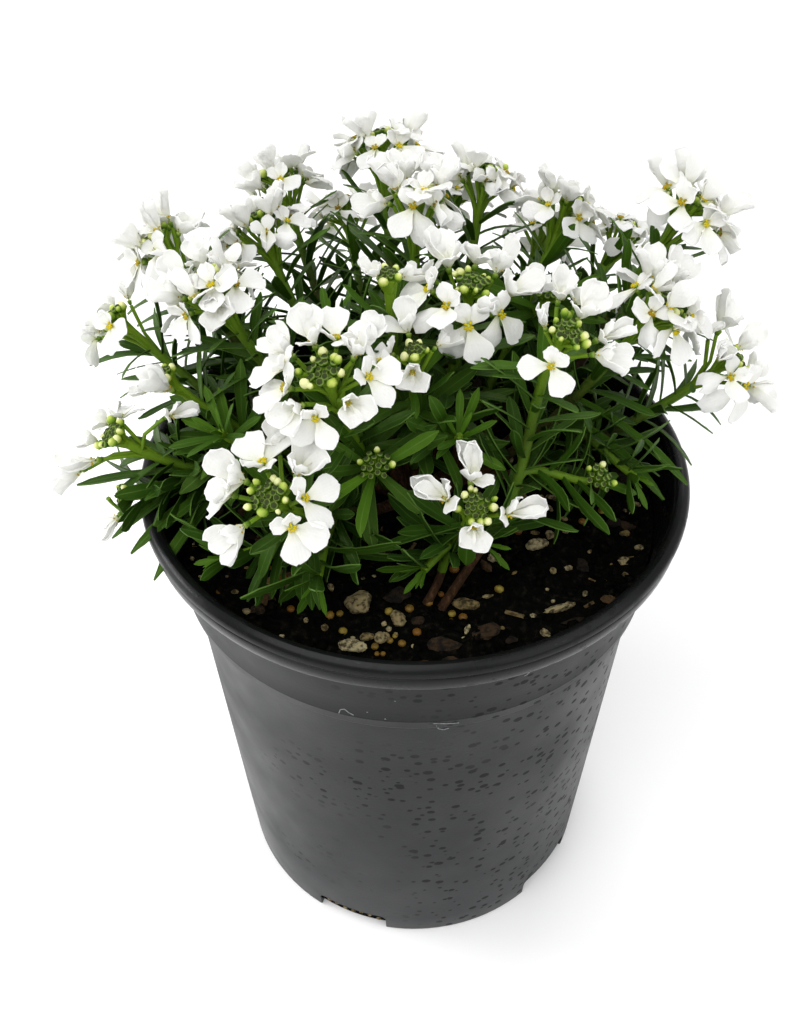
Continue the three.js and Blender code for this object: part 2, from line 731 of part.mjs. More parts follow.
const stems = blooms.map((bloom, number) => {
  const line = stemLine(bloom);
  const solid = toSolid(tube(line, stemRadius, 3, stemSides));
  if (!isClear(solid, otherThan(number))) console.warn('stem crosses', number);
  keep(solid, number);
  return { line, parts: [solid], lines: [] };
});
const heads = blooms.map((bloom, number) => makeHead(bloom, `head ${number}`));
for (const shoot of shoots) {
  const parent = stems[shoot.from];
  const start = parent.line.getPointAt(shoot.start);
  const line = bentLine(start, parent.line.getTangentAt(shoot.start), new THREE.Vector3(...shoot.at),
    headAxis(shoot.at));
  const solid = toSolid(tube(line, shootRadius, 2, stemSides));
  if (!isClear(solid, otherThan(shoot.from))) console.warn('shoot crosses', shoot.at);
  keep(solid, shoot.from);
  parent.parts.push(solid);
  if (shoot.buds) parent.parts.push(...budsAt(line));
  parent.lines.push(line);
}
stems.forEach((stem, number) => {
  stem.parts.push(...leavesOn(stem.line, number, stemLeaves, false));
  for (const line of stem.lines) stem.parts.push(...leavesOn(line, number, shootLeaves, true));
});
stems.forEach((stem, number) => {
  const label = String(number + 1).padStart(2, '0');
  let solid = stem.parts[0];
  for (const piece of stem.parts.slice(1)) solid = solid.add(piece);
  addNode(`leafy_stem_${label}`, mainBody(solid), green);
  addNode(`flower_head_${label}`, heads[number], white);
});

export default candytuft;
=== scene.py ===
# %% [markdown]
# # A potted evergreen candytuft
# The real object is a black nursery pot of potting mix with one bushy plant in white flower. The solids
# of the imported part are loaded first, as a fixed frame. Every piece made below stands in that same frame,
# in metres, and the plain solids that the pieces stand for are hidden.

# %% Load the imported part
import math
import random

import bmesh
import bpy
from mathutils import Matrix, Vector, noise


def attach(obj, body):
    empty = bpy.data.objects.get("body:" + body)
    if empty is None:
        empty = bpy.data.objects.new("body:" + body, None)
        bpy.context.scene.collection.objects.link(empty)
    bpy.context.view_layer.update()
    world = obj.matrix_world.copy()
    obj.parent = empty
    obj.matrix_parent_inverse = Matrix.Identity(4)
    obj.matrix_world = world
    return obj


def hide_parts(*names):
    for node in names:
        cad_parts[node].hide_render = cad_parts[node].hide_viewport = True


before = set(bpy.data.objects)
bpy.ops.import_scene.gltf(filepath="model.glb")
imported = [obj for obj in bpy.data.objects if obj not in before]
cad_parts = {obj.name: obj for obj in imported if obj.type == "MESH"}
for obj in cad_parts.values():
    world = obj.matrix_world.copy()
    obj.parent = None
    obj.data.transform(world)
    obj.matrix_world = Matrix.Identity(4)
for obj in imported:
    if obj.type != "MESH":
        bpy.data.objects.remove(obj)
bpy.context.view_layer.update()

# %% [markdown]
# ## The planting plan
# The plant could be scattered by chance, but a real one is known by where its flower heads stand. So each
# flowering stem is a line of this list: the middle of its head in millimetres, the head's radius and, for
# the two stems that rise from a small crown of their own at the front, where that crown ends. One head has
# only begun to flower, so the number of its open florets is given. Side shoots name the stem they leave,
# how far up it, where they end and whether they end in buds. Some stop at a share of their length.

# %% Planting plan
MM = 0.001
SOIL_LEVEL = 156
CROWN_CENTRE = Vector((0, 2, SOIL_LEVEL))
FRONT_CENTRE = Vector((5, -43, SOIL_LEVEL))
HEAD_DEPTH = 4.6
GOLDEN_ANGLE = math.radians(137.5)
BLOOMS = [
    ((-44, 73, 229), 16, None),
    ((-73, 24, 235), 14, None),
    ((-47, 40, 232), 17, None),
    ((-56, 0, 235), 16, None),
    ((-86, 13, 216), 13, None),
    ((-69, -7, 210), 9, None),
    ((-84, -17, 197), 14, None),
    ((-22, -40, 236), 20, None),
    ((-36, -56, 210), 18, None),
    ((-7, -4, 240), 9, None),
    ((-10, 62, 247), 18, None),
    ((0, 30, 246), 15, None),
    ((22, 62, 236), 14, None),
    ((46, 46, 235), 14, None),
    ((67, 60, 218), 12, None),
    ((15, -3, 237), 18, None),
    ((38, -25, 237), 15, (22, -36, 178)),
    ((0, -22, 229), 9, None),
    ((78, 26, 245), 17, None),
    ((67, -3, 232), 15, None),
    ((89, 0, 211), 15, None),
    ((16, -49, 200), 15, (8, -39, 166)),
    ((-70, 56, 208), 14, None),
    ((-24, 91, 209), 15, None),
    ((11, 91, 216), 14, None),
    ((44, 80, 208), 14, None),
]
FEW_OPEN = {9: 2}
SHOOTS = [
    (6, 0.4, (-91, -27, 184), True),
    (7, 0.35, (-10, -40, 206), True),
    (16, 0.3, (50, -30, 193), True),
    (8, 0.3, (-28, -68, 182), False),
    (8, 0.2, (-58, -48, 181), False),
    (21, 0.3, (-4, -60, 180), False),
    (21, 0.35, (34, -52, 184), False),
    (19, 0.3, (70, -28, 190), False),
    (17, 0.4, (12, -30, 208), False),
    (5, 0.4, (-52, -26, 206), False),
    (9, 0.45, (-24, 2, 222), False),
    (13, 0.45, (38, 18, 220), True),
    (24, 0.3, (-6, 78, 190), False),
    (22, 0.3, (-70, 46, 188), False),
    (14, 0.3, (82, 44, 194), False),
    (25, 0.3, (60, 74, 186), False),
]
SHOOT_REACH = {0: 0.76, 3: 0.66, 4: 0.85, 5: 0.55, 6: 0.42, 7: 0.75}
chance = random.Random(4927)
print("flowering stems:", len(BLOOMS), "side shoots:", len(SHOOTS))

# %% [markdown]
# ## Florets that are seen one by one
# The heads nearest to the camera are known petal by petal, so their florets are listed: the way each lies
# from the head's middle in degrees, with 0 to the right and 90 away from the viewer, how far off the
# middle and how high it stands in millimetres, how far its face leans out, its habit and its size. The
# other heads are filled by rule.

# %% Seen florets
SEEN_FLORETS = {
    4: [
        (150, 8.5, -0.4, 60, "rolled", 0.9), (176, 10.5, -1, 66, "spread", 0.85),
        (-78, 6.5, 0, 48, "open", 0.85), (62, 7.5, 0, 34, "boat", 0.75),
        (112, 8, 0.4, 40, "pair_up", 0.7), (-130, 5.5, 0.6, 40, "closing", 0.6),
    ],
    5: [
        (-80, 4.6, -1.6, 22, "closing", 1.12), (178, 8, -1, 60, "closing", 0.5),
    ],
    6: [
        (-174, 16, -1, 60, "ears", 1.0), (-150, 8.5, 0, 40, "closing", 1.05),
        (112, 6, 0.5, 30, "wide", 0.85), (58, 5.5, 0, 45, "open", 0.7),
        (-12, 20, -4, 102, "ears", 0.85), (165, 6.5, 1, 35, "pair_up", 0.75),
    ],
    7: [
        (102, 8.3, 0.8, 28, "pair_up", 1.0), (66, 9, 0.4, 34, "rolled", 0.95),
        (20, 8.6, 0.6, 34, "one_up", 1.0), (-14, 10.6, -1.2, 44, "open", 0.92),
        (-58, 9.6, -1.8, 46, "boat", 0.86), (-104, 10.6, -2.6, 48, "wide", 0.88),
        (-129, 9.6, -1.2, 46, "boat", 0.88), (-166, 9.2, -0.6, 40, "rolled", 1.0),
        (162, 9.6, 0.4, 34, "open", 1.0), (138, 10.4, 0, 40, "boat", 0.85),
        (40, 12, -2, 52, "pair_up", 0.85), (8, 13, -2.4, 58, "hanging", 0.85),
    ],
    8: [
        (88, 8, 0.8, 28, "open", 1.12), (78, 14, -3.5, 50, "pair_up", 0.77),
        (134, 8, 0.6, 36, "one_up", 1.08), (160, 11, -1.6, 50, "open", 0.95),
        (-146, 9.5, -1.4, 60, "boat", 1.0), (-62, 9.4, -1.8, 44, "open", 1.0),
        (-16, 9, -0.8, 44, "wide", 0.98), (24, 9, 0, 36, "boat", 1.08),
    ],
    15: [
        (136, 8.5, 0.8, 28, "pair_up", 1.1), (156, 11.5, -1.5, 50, "rolled", 0.95),
        (82, 9, 0.8, 24, "open", 1.05), (40, 9, 0.8, 30, "one_up", 1.0),
        (12, 12.5, -1.4, 44, "boat", 1.0), (-12, 9.5, -0.2, 38, "pair_up", 1.05),
        (-48, 11, -2.6, 52, "hanging", 1.0), (-76, 9, -1.4, 44, "closing", 0.8),
        (-92, 11.5, -4.6, 60, "hanging", 1.1), (-126, 10.5, -1.6, 46, "rolled", 1.0),
        (-166, 11, -1.2, 48, "open", 1.0),
    ],
    16: [
        (180, 6, 0.2, 30, "closing", 0.7), (102, 11, 0.2, 30, "pair_up", 0.84),
        (76, 12.5, -0.6, 38, "open", 0.84), (62, 6.5, 0.8, 24, "pair_up", 1.01),
        (10, 9, -0.4, 40, "ears", 0.97), (-22, 8.8, -0.8, 44, "boat", 0.92),
        (-108, 10.4, -2.2, 52, "spread", 0.84),
    ],
    17: [
        (104, 6.5, 1.0, 30, "one_up", 0.87), (26, 6.5, -0.6, 50, "boat", 0.69),
        (178, 6, -0.4, 48, "open", 0.74), (-94, 5.4, -1.2, 44, "boat", 0.84),
    ],
    20: [
        (170, 10.5, 0, 45, "open", 0.85), (112, 10.5, 0.8, 32, "pair_up", 1.1),
        (62, 9.5, 0.4, 36, "one_up", 0.95), (20, 9.5, -0.8, 44, "wide", 1.0),
        (-24, 9, -1, 50, "boat", 1.0), (-62, 8, -1.4, 52, "hanging", 1.2),
        (-104, 9, -1.5, 50, "rolled", 0.95), (-140, 9.5, -0.6, 46, "ears", 0.9),
    ],
    21: [
        (106, 6.8, 1.6, 22, "ears", 1.16), (-8, 7.6, 0.4, 40, "ears", 1.12),
        (174, 7.6, 0.4, 40, "ears_left", 1.16), (-94, 5.2, 0.2, 40, "boat", 0.8),
    ],
}
SHOOT_FLORETS = {0: [(172, 8, 1.5, 60, "closing", 0.95)]}
print("heads with seen florets:", sorted(SEEN_FLORETS))

# %% [markdown]
# ## Camera, light and floor
# The photograph looks down on the plant by about forty-four degrees from close by, so the camera stands
# 0.4 m above the bench and 0.26 m in front of the pot's axis. Its place, lens and roll come from fitting the
# rim, step and foot of the pot. A white world gives the soft light from all round, and large lamps
# model the petals. The pot's wall mirrors the floor, so the last lamp stands over the floor on the left and
# gives the wall its sheen. The floor is plain and pale, and is no part of the object.

# %% Camera, light and floor
CAMERA_PLACE = (0, -0.26357, 0.40331)
CAMERA_TARGET = (-0.00442, 0, 0.1515)
CAMERA_ROLL = -0.009
CAMERA_LENS = 40.43
PLANT_MIDDLE = (0, 0, 0.18)
scene = bpy.context.scene
scene.view_settings.view_transform = "Standard"


def deselect_all():
    bpy.ops.object.select_all(action="DESELECT")


def add_camera(place, target, roll, lens):
    deselect_all()
    bpy.ops.object.camera_add(location=place)
    camera = bpy.context.object
    view = Vector(target) - Vector(place)
    turn = view.to_track_quat("-Z", "Y").to_matrix() @ Matrix.Rotation(roll, 3, "Z")
    camera.rotation_euler = turn.to_euler()
    camera.data.lens = lens
    camera.data.sensor_width = 36
    camera.data.clip_start = 0.01
    return camera


def add_lamp(name, place, size, power, target=PLANT_MIDDLE):
    bpy.ops.object.light_add(type="AREA", location=place)
    lamp = bpy.context.object
    lamp.name = name
    lamp.data.size = size
    lamp.data.energy = power
    aim = Vector(target) - Vector(place)
    lamp.rotation_euler = aim.to_track_quat("-Z", "Y").to_euler()


scene.camera = add_camera(CAMERA_PLACE, CAMERA_TARGET, CAMERA_ROLL, CAMERA_LENS)
world = bpy.data.worlds.new("white_studio")
world.use_nodes = True
sky = world.node_tree.nodes["Background"].inputs
sky["Color"].default_value = (1, 1, 1, 1)
sky["Strength"].default_value = 0.55
scene.world = world
add_lamp("key_lamp", (-0.3, -0.5, 1.0), 0.9, 7.0)
add_lamp("fill_lamp", (0.6, -0.45, 0.6), 0.8, 2.6)
add_lamp("back_lamp", (0.0, 1.1, 1.1), 1.2, 10)
add_lamp("side_lamp", (-1.0, 0.0, 0.25), 0.5, 1.6)
add_lamp("sheen_lamp", (-0.36, 0.02, 0.3), 0.15, 0.9, (-0.36, 0.02, 0))

bpy.ops.mesh.primitive_plane_add(size=6, location=(0, 0, 0))
floor = bpy.context.object
floor.name = "floor"
print("camera at", tuple(scene.camera.location))

# %% [markdown]
# Some small things are known by where they show in the photograph: a lump in the soil, a mark on the pot.
# A ray from the camera through that pixel, followed until it meets the surface that carries the thing,
# gives its place in the round.

# %% Rays through the photograph
PHOTO_WIDTH, PHOTO_HEIGHT = 800, 1024
FOCAL_PIXELS = scene.camera.data.lens / scene.camera.data.sensor_width * PHOTO_HEIGHT


def ray_through(px, py):
    """Where the ray through a pixel starts, and its direction, in mm."""
    camera = scene.camera
    view = Vector((px - PHOTO_WIDTH / 2, PHOTO_HEIGHT / 2 - py, -FOCAL_PIXELS))
    return camera.location / MM, (camera.rotation_euler.to_matrix() @ view).normalized()


def at_height(px, py, height):
    """Where the ray through a pixel comes down to a height, in mm."""
    start, ray = ray_through(px, py)
    return start + ray * ((height - start.z) / ray.z)


middle_of_photo = at_height(PHOTO_WIDTH / 2, PHOTO_HEIGHT / 2, SOIL_LEVEL)
print("the middle of the photograph meets the soil's level at", middle_of_photo)

# %% [markdown]
# ## Helpers for materials
# Every finish is a node tree. These few helpers place a node, give its sockets values and join it up, so
# that each material below reads as a short recipe.


# %% Helpers for materials
def new_material(name):
    """A material, and the node tree that the recipe adds to."""
    material = bpy.data.materials.new(name)
    material.use_nodes = True
    return material, material.node_tree


def set_socket(tree, socket, value):
    """Joins a socket to another one or sets its value; a colour gets an alpha of 1."""
    if isinstance(value, bpy.types.NodeSocket):
        tree.links.new(value, socket)
    elif isinstance(value, tuple) and len(socket.default_value) == 4:
        socket.default_value = (*value, 1)
    else:
        socket.default_value = value


def add_node(tree, kind, values=None, **settings):
    node = tree.nodes.new(kind)
    for setting, value in settings.items():
        setattr(node, setting, value)
    for socket, value in (values or {}).items():
        set_socket(tree, node.inputs[socket], value)
    return node


def object_place(tree):
    return add_node(tree, "ShaderNodeTexCoord").outputs["Object"]


def point_value(tree, name):
    """The number that each point of the mesh carries under a name."""
    return add_node(tree, "ShaderNodeAttribute", attribute_name=name).outputs["Fac"]


def split(tree, vector):
    """The outputs X, Y and Z of a vector."""
    return add_node(tree, "ShaderNodeSeparateXYZ", {0: vector}).outputs


def ramp(tree, source, stops):
    """Colours or greys along a value from 0 to 1. Each stop is a place and a colour or a grey."""
    node = add_node(tree, "ShaderNodeValToRGB", {"Fac": source})
    colours = node.color_ramp.elements
    while len(colours) < len(stops):
        colours.new(1)
    for element, (place, colour) in zip(colours, stops):
        element.position = place
        grey = isinstance(colour, (int, float))
        element.color = (colour, colour, colour, 1) if grey else (*colour, 1)
    return node.outputs["Color"]


def mix(tree, share, first, second):
    values = {0: share, 6: first, 7: second}
    return add_node(tree, "ShaderNodeMix", values, data_type="RGBA").outputs[2]


def math_node(tree, operation, first, second=0.0, third=0.0):
    values = {0: first, 1: second, 2: third}
    return add_node(tree, "ShaderNodeMath", values, operation=operation).outputs[0]


def roughened(tree, value, mask, amount):
    """A value that a mask from 0 to 1 pushes down and up by half of an amount."""
    return math_node(tree, "MULTIPLY_ADD", mask, amount, math_node(tree, "SUBTRACT", value, amount / 2))


def finish_with(material, **inputs):
    """Joins or sets the shader's inputs; an underscore in a name stands for a space."""
    tree = material.node_tree
    for name, value in inputs.items():
        set_socket(tree, tree.nodes["Principled BSDF"].inputs[name.replace("_", " ")], value)
    return material


# %% [markdown]
# ## Two shared effects
# Nearly every surface here is uneven, and nearly every repeated piece differs a little from the next. The
# first group, grain, reads a noise at the object's own scale and puts out a mask and a rough normal. The
# second, piece tone, reads the number that each copied piece carries and mixes two colours by it.


# %% Shared effects
def new_group(name, inputs, outputs):
    """An empty group with its named sockets, what is given to it and what it puts out."""
    group = bpy.data.node_groups.new(name, "ShaderNodeTree")
    for way, sockets in (("INPUT", inputs), ("OUTPUT", outputs)):
        for label, kind in sockets.items():
            group.interface.new_socket(name=label, in_out=way, socket_type="NodeSocket" + kind)
    given = group.nodes.new("NodeGroupInput").outputs
    return group, given, group.nodes.new("NodeGroupOutput").inputs


def make_grain_group():
    numbers = {"Scale": "Float", "Detail": "Float", "Height": "Float"}
    group, given, put = new_group("grain", {"Vector": "Vector", **numbers},
                                  {"Mask": "Float", "Normal": "Vector"})
    wanted = {"Vector": given["Vector"], "Scale": given["Scale"], "Detail": given["Detail"]}
    speck = add_node(group, "ShaderNodeTexNoise", {**wanted, "Roughness": 0.6}).outputs["Fac"]
    bump = add_node(group, "ShaderNodeBump",
                    {"Height": speck, "Distance": given["Height"], "Strength": 1.0})
    set_socket(group, put["Mask"], speck)
    set_socket(group, put["Normal"], bump.outputs["Normal"])
    return group


def make_tone_group():
    group, given, put = new_group("piece_tone", {"Low": "Color", "High": "Color"}, {"Color": "Color"})
    blend = mix(group, point_value(group, "tone"), given["Low"], given["High"])
    set_socket(group, put["Color"], blend)
    return group


grain_group = make_grain_group()
tone_group = make_tone_group()


def add_grain(tree, scale, height, detail=5.0):
    values = {"Vector": object_place(tree), "Scale": scale, "Detail": detail, "Height": height}
    return add_node(tree, "ShaderNodeGroup", values, node_tree=grain_group).outputs


def add_tone(tree, low, high):
    values = {"Low": low, "High": high}
    return add_node(tree, "ShaderNodeGroup", values, node_tree=tone_group).outputs["Color"]


print("shared effects:", grain_group.name, tone_group.name)

# %% [markdown]
# ## Leaf and stem finishes
# A candytuft leaf is dark, leathery and a little paler along its midrib and edge. The grid that each leaf
# starts from is unwrapped as a square, so across is 0 to 1 from edge to edge, and the midrib is simply the
# middle of that. Young leaves carry a higher tone and are a fresher green, and leaves low in the bush a
# lower one, which is painted shade among the foliage.


# %% Leaf and stem finishes
def make_leaf_finish():
    material, tree = new_material("leaf_green")
    tone = add_tone(tree, (0.007, 0.030, 0.003), (0.078, 0.188, 0.005))
    grain = add_grain(tree, 260, 0.00012)
    uv = split(tree, add_node(tree, "ShaderNodeUVMap").outputs[0])
    from_middle = math_node(tree, "ABSOLUTE", math_node(tree, "SUBTRACT", uv["X"], 0.5))
    midrib = ramp(tree, from_middle, [(0.0, 0.55), (0.05, 0.05), (0.4, 0.0), (0.46, 0.05), (0.495, 0.45)])
    towards_tip = ramp(tree, uv["Y"], [(0.2, 0.35), (0.7, 1.0)])
    lines = math_node(tree, "MULTIPLY", midrib, towards_tip)
    mottled = mix(tree, math_node(tree, "MULTIPLY", grain["Mask"], 0.45), tone, (0.015, 0.040, 0.005))
    paler = mix(tree, lines, mottled, (0.125, 0.225, 0.050))
    gloss = ramp(tree, grain["Mask"], [(0.3, 0.42), (0.7, 0.62)])
    return finish_with(material, Base_Color=paler, Roughness=gloss, Normal=grain["Normal"],
                       Specular_IOR_Level=0.24, Specular_Tint=(0.7, 1.0, 0.25))


def make_stem_finish():
    material, tree = new_material("stem_green")
    grain = add_grain(tree, 320, 0.0003)
    tone = point_value(tree, "tone")
    uneven = roughened(tree, tone, grain["Mask"], 0.3)
    colour = ramp(tree, uneven, [(0.0, (0.03, 0.017, 0.008)), (0.3, (0.040, 0.052, 0.006)),
                                 (0.6, (0.065, 0.135, 0.005)), (1.0, (0.150, 0.265, 0.010))])
    return finish_with(material, Base_Color=colour, Roughness=0.6, Normal=grain["Normal"],
                       Specular_IOR_Level=0.2)


leaf_finish = make_leaf_finish()
stem_finish = make_stem_finish()

# %% [markdown]
# ## Petal, anther and bud finishes
# The petals are white with a cool, matt bloom, creamier towards the claw, and creased along their length.
# Anthers are yellow, and a few have turned brown. Buds fade from green at the foot to cream at the tip.


# %% Petal, anther and bud finishes
def make_petal_finish():
    material, tree = new_material("petal_white")
    grain = add_grain(tree, 280, 0.0005, 3.0)
    uv_map = add_node(tree, "ShaderNodeUVMap").outputs[0]
    uv = split(tree, uv_map)
    claw = ramp(tree, uv["Y"], [(0.0, (0.55, 0.60, 0.24)), (0.12, (0.78, 0.79, 0.64)),
                                (0.35, (0.84, 0.84, 0.80)), (1.0, (0.86, 0.86, 0.84))])
    veins = add_node(tree, "ShaderNodeTexWave", {"Vector": uv_map, "Scale": 2.6, "Distortion": 1.5,
                                                 "Detail": 2.0})
    veined = mix(tree, math_node(tree, "MULTIPLY", veins.outputs["Fac"], 0.12), claw, (0.70, 0.71, 0.68))
    return finish_with(material, Base_Color=veined, Roughness=0.6, Normal=grain["Normal"],
                       Specular_IOR_Level=0.2, Subsurface_Weight=0.3, Subsurface_Scale=0.002,
                       Subsurface_Radius=(1.0, 1.0, 0.9))


def make_anther_finish():
    material, tree = new_material("anther_yellow")
    tone = add_tone(tree, (0.56, 0.44, 0.010), (0.20, 0.09, 0.008))
    grain = add_grain(tree, 1500, 0.0002)
    colour = mix(tree, math_node(tree, "MULTIPLY", grain["Mask"], 0.4), tone, (0.66, 0.56, 0.03))
    return finish_with(material, Base_Color=colour, Roughness=0.75, Normal=grain["Normal"],
                       Specular_IOR_Level=0.08)


def make_bud_finish():
    material, tree = new_material("bud_cream")
    up = point_value(tree, "up")
    tone = point_value(tree, "tone")
    grain = add_grain(tree, 700, 0.0002)
    lifted = math_node(tree, "MULTIPLY_ADD", tone, 0.55, math_node(tree, "SUBTRACT", up, 0.28))
    uneven = roughened(tree, lifted, grain["Mask"], 0.24)
    colour = ramp(tree, uneven, [(0.15, (0.05, 0.12, 0.006)), (0.45, (0.16, 0.28, 0.015)),
                                 (0.76, (0.46, 0.55, 0.10)), (0.95, (0.76, 0.78, 0.38))])
    return finish_with(material, Base_Color=colour, Roughness=0.55, Normal=grain["Normal"],
                       Specular_IOR_Level=0.2)


def make_calyx_finish():
    material, tree = new_material("calyx_lime")
    up = point_value(tree, "up")
    grain = add_grain(tree, 900, 0.0001)
    mottled = math_node(tree, "MULTIPLY_ADD", grain["Mask"], 0.3, up)
    colour = ramp(tree, mottled, [(0.2, (0.04, 0.10, 0.005)), (0.8, (0.10, 0.19, 0.010)),
                                  (1.0, (0.26, 0.34, 0.07))])
    return finish_with(material, Base_Color=colour, Roughness=0.55, Normal=grain["Normal"],
                       Specular_IOR_Level=0.2)


def make_green_bud_finish():
    material, tree = new_material("bud_green")
    up = point_value(tree, "up")
    grain = add_grain(tree, 700, 0.0002)
    uneven = roughened(tree, up, grain["Mask"], 0.12)
    colour = ramp(tree, uneven, [(0.35, (0.03, 0.085, 0.006)), (0.62, (0.075, 0.16, 0.014)),
                                 (0.76, (0.22, 0.30, 0.070)), (0.85, (0.035, 0.060, 0.010)),
                                 (1.0, (0.026, 0.034, 0.008))])
    return finish_with(material, Base_Color=colour, Roughness=0.6, Normal=grain["Normal"],
                       Specular_IOR_Level=0.15)


petal_finish = make_petal_finish()
anther_finish = make_anther_finish()
bud_finish = make_bud_finish()
calyx_finish = make_calyx_finish()
green_bud_finish = make_green_bud_finish()
print("plant finishes:", [each.name for each in (leaf_finish, stem_finish, petal_finish, bud_finish)])

# %% [markdown]
# ## Pot, soil and wood finishes
# The pot is black moulded plastic with a satin bloom, dry scuffs on the rim and small dark marks where
# water has run. Its grey is given by height: lighter at the foot, a painted reflection of the bright floor,
# and darkest on the collar under the rim, painted shade. The soil is nearly black, with cream perlite,
# waxy prills and red-brown bark in it.


# %% Pot, soil and wood finishes
LEVELS_TOP = 0.18


def make_pot_finish(name, levels, specular, rough, drop_share):
    """Satin plastic. Levels are greys by the share of LEVELS_TOP, painted light on the wall; the drops are
    marks of dried water.
    """
    material, tree = new_material(name)
    place = object_place(tree)
    spot = split(tree, place)
    grain = add_grain(tree, 900, 0.00003)
    cloud = add_grain(tree, 24, 0.0, 3.0)
    height = math_node(tree, "MULTIPLY", spot["Z"], 1 / LEVELS_TOP)
    # Greys by height. On the wall the foot is lighter, a painted reflection of the floor, and the collar is
    # darkest, painted shade.
    grey_and_painted_light = ramp(tree, height, [(share, (0.95 * grey, grey, 1.04 * grey)) for share, grey in levels])
    base = mix(tree, math_node(tree, "MULTIPLY", cloud["Mask"], 0.24), grey_and_painted_light, (0.036, 0.038, 0.040))
    stretched = add_node(tree, "ShaderNodeMapping", {"Vector": place, "Scale": (1, 1, 9)})
    scratch = add_node(tree, "ShaderNodeTexNoise",
                       {"Vector": stretched.outputs[0], "Scale": 120.0, "Detail": 8.0, "Roughness": 0.75})
    scuff = ramp(tree, scratch.outputs["Fac"], [(0.62, 0.0), (0.74, 1.0)])
    scuffed = mix(tree, math_node(tree, "MULTIPLY", scuff, 0.3), base, (0.10, 0.104, 0.108))
    flat = add_node(tree, "ShaderNodeMapping", {"Vector": place, "Scale": (1, 1, 1.45)})
    drops = add_node(tree, "ShaderNodeTexVoronoi", {"Vector": flat.outputs[0], "Scale": 235.0})
    size = split(tree, drops.outputs["Color"])["X"]
    margin = math_node(tree, "MULTIPLY_ADD", size, 0.24, drops.outputs["Distance"])
    patch = add_grain(tree, 20, 0.0, 2.0)
    wetter = math_node(tree, "MULTIPLY_ADD", spot["X"], 3.2, patch["Mask"])
    where = ramp(tree, wetter, [(0.4, 0.0), (0.58, 1.0)])
    wet = ramp(tree, margin, [(0.34, 1.0), (0.41, 0.0)])
    amount = math_node(tree, "MULTIPLY", math_node(tree, "MULTIPLY", where, wet), drop_share)
    marked = mix(tree, amount, scuffed, (0.001, 0.001, 0.001))
    satin = ramp(tree, cloud["Mask"], [(0.35, rough), (0.65, rough + 0.16)])
    gloss = mix(tree, amount, satin, (0.75, 0.75, 0.75))
    return finish_with(material, Base_Color=marked, Roughness=gloss, Normal=grain["Normal"],
                       Specular_IOR_Level=specular)


def make_soil_finish():
    material, tree = new_material("soil_dark")
    grain = add_grain(tree, 420, 0.0016, 8.0)
    colour = ramp(tree, grain["Mask"], [(0.3, (0.0008, 0.0010, 0.0009)), (0.55, (0.0030, 0.0030, 0.0025)),
                                        (0.75, (0.018, 0.015, 0.010))])
    return finish_with(material, Base_Color=colour, Roughness=0.95, Normal=grain["Normal"],
                       Specular_IOR_Level=0.02)


def make_lump_finish(name, low, high, pit_shade, scale, height, roughness):
    """A finish for loose pieces in the soil: two tones, and painted shade in the pits of the bump."""
    material, tree = new_material(name)
    tone = add_tone(tree, low, high)
    grain = add_grain(tree, scale, height, 6.0)
    # The hollows of the bump are darkened: painted shade.
    pit_shaded = mix(tree, ramp(tree, grain["Mask"], [(0.4, 0.9), (0.54, 0.0)]), tone, pit_shade)
    return finish_with(material, Base_Color=pit_shaded, Roughness=roughness, Normal=grain["Normal"],
                       Specular_IOR_Level=0.2)


def make_wood_finish():
    material, tree = new_material("bark_brown")
    place = object_place(tree)
    drawn = add_node(tree, "ShaderNodeMapping", {"Vector": place, "Scale": (1, 1, 0.18)})
    fibre = add_node(tree, "ShaderNodeTexNoise",
                     {"Vector": drawn.outputs[0], "Scale": 900.0, "Detail": 6.0, "Roughness": 0.65})
    colour = ramp(tree, fibre.outputs["Fac"], [(0.3, (0.012, 0.007, 0.003)), (0.52, (0.048, 0.022, 0.009)),
                                               (0.72, (0.115, 0.062, 0.030))])
    bump = add_node(tree, "ShaderNodeBump", {"Height": fibre.outputs["Fac"], "Distance": 0.0005})
    return finish_with(material, Base_Color=colour, Roughness=0.85, Normal=bump.outputs["Normal"],
                       Specular_IOR_Level=0.15)


def make_floor_finish():
    material, tree = new_material("pale_floor")
    return finish_with(material, Base_Color=(0.96, 0.96, 0.96), Roughness=0.9, Specular_IOR_Level=0.1)


# Lighter at the foot, a painted reflection of the bright floor; darkest on the collar under the rim, painted
# shade.
WALL_PAINTED_LIGHT_LEVELS = [(0.0, 0.033), (0.2, 0.019), (0.6, 0.010), (0.755, 0.008), (0.775, 0.0055), (0.9, 0.0035)]
pot_finish = make_pot_finish("pot_black", WALL_PAINTED_LIGHT_LEVELS, 0.15, 0.34, 0.7)
# A darker copy of the pot's plastic for the rim and the inside of the wall; inside the pot it is painted
# shade.
rim_and_inside_shade_finish = make_pot_finish("rim_black_inside_shade", [(0.0, 0.001), (1.0, 0.001)], 0.16, 0.2, 0.3)
soil_finish = make_soil_finish()
wood_finish = make_wood_finish()
perlite_finish = make_lump_finish("perlite_cream", (0.16, 0.11, 0.035), (0.42, 0.36, 0.20),
                                  (0.022, 0.017, 0.007), 620, 0.0010, 0.9)
prill_finish = make_lump_finish("prill_wax", (0.15, 0.06, 0.008), (0.27, 0.215, 0.035),
                                (0.10, 0.055, 0.008), 300, 0.0001, 0.45)
chip_finish = make_lump_finish("bark_chip", (0.007, 0.005, 0.003), (0.100, 0.056, 0.022),
                               (0.003, 0.0025, 0.002), 380, 0.0014, 0.9)
sliver_finish = make_lump_finish("straw_sliver", (0.06, 0.038, 0.016), (0.20, 0.145, 0.06),
                                 (0.04, 0.025, 0.01), 600, 0.0004, 0.8)
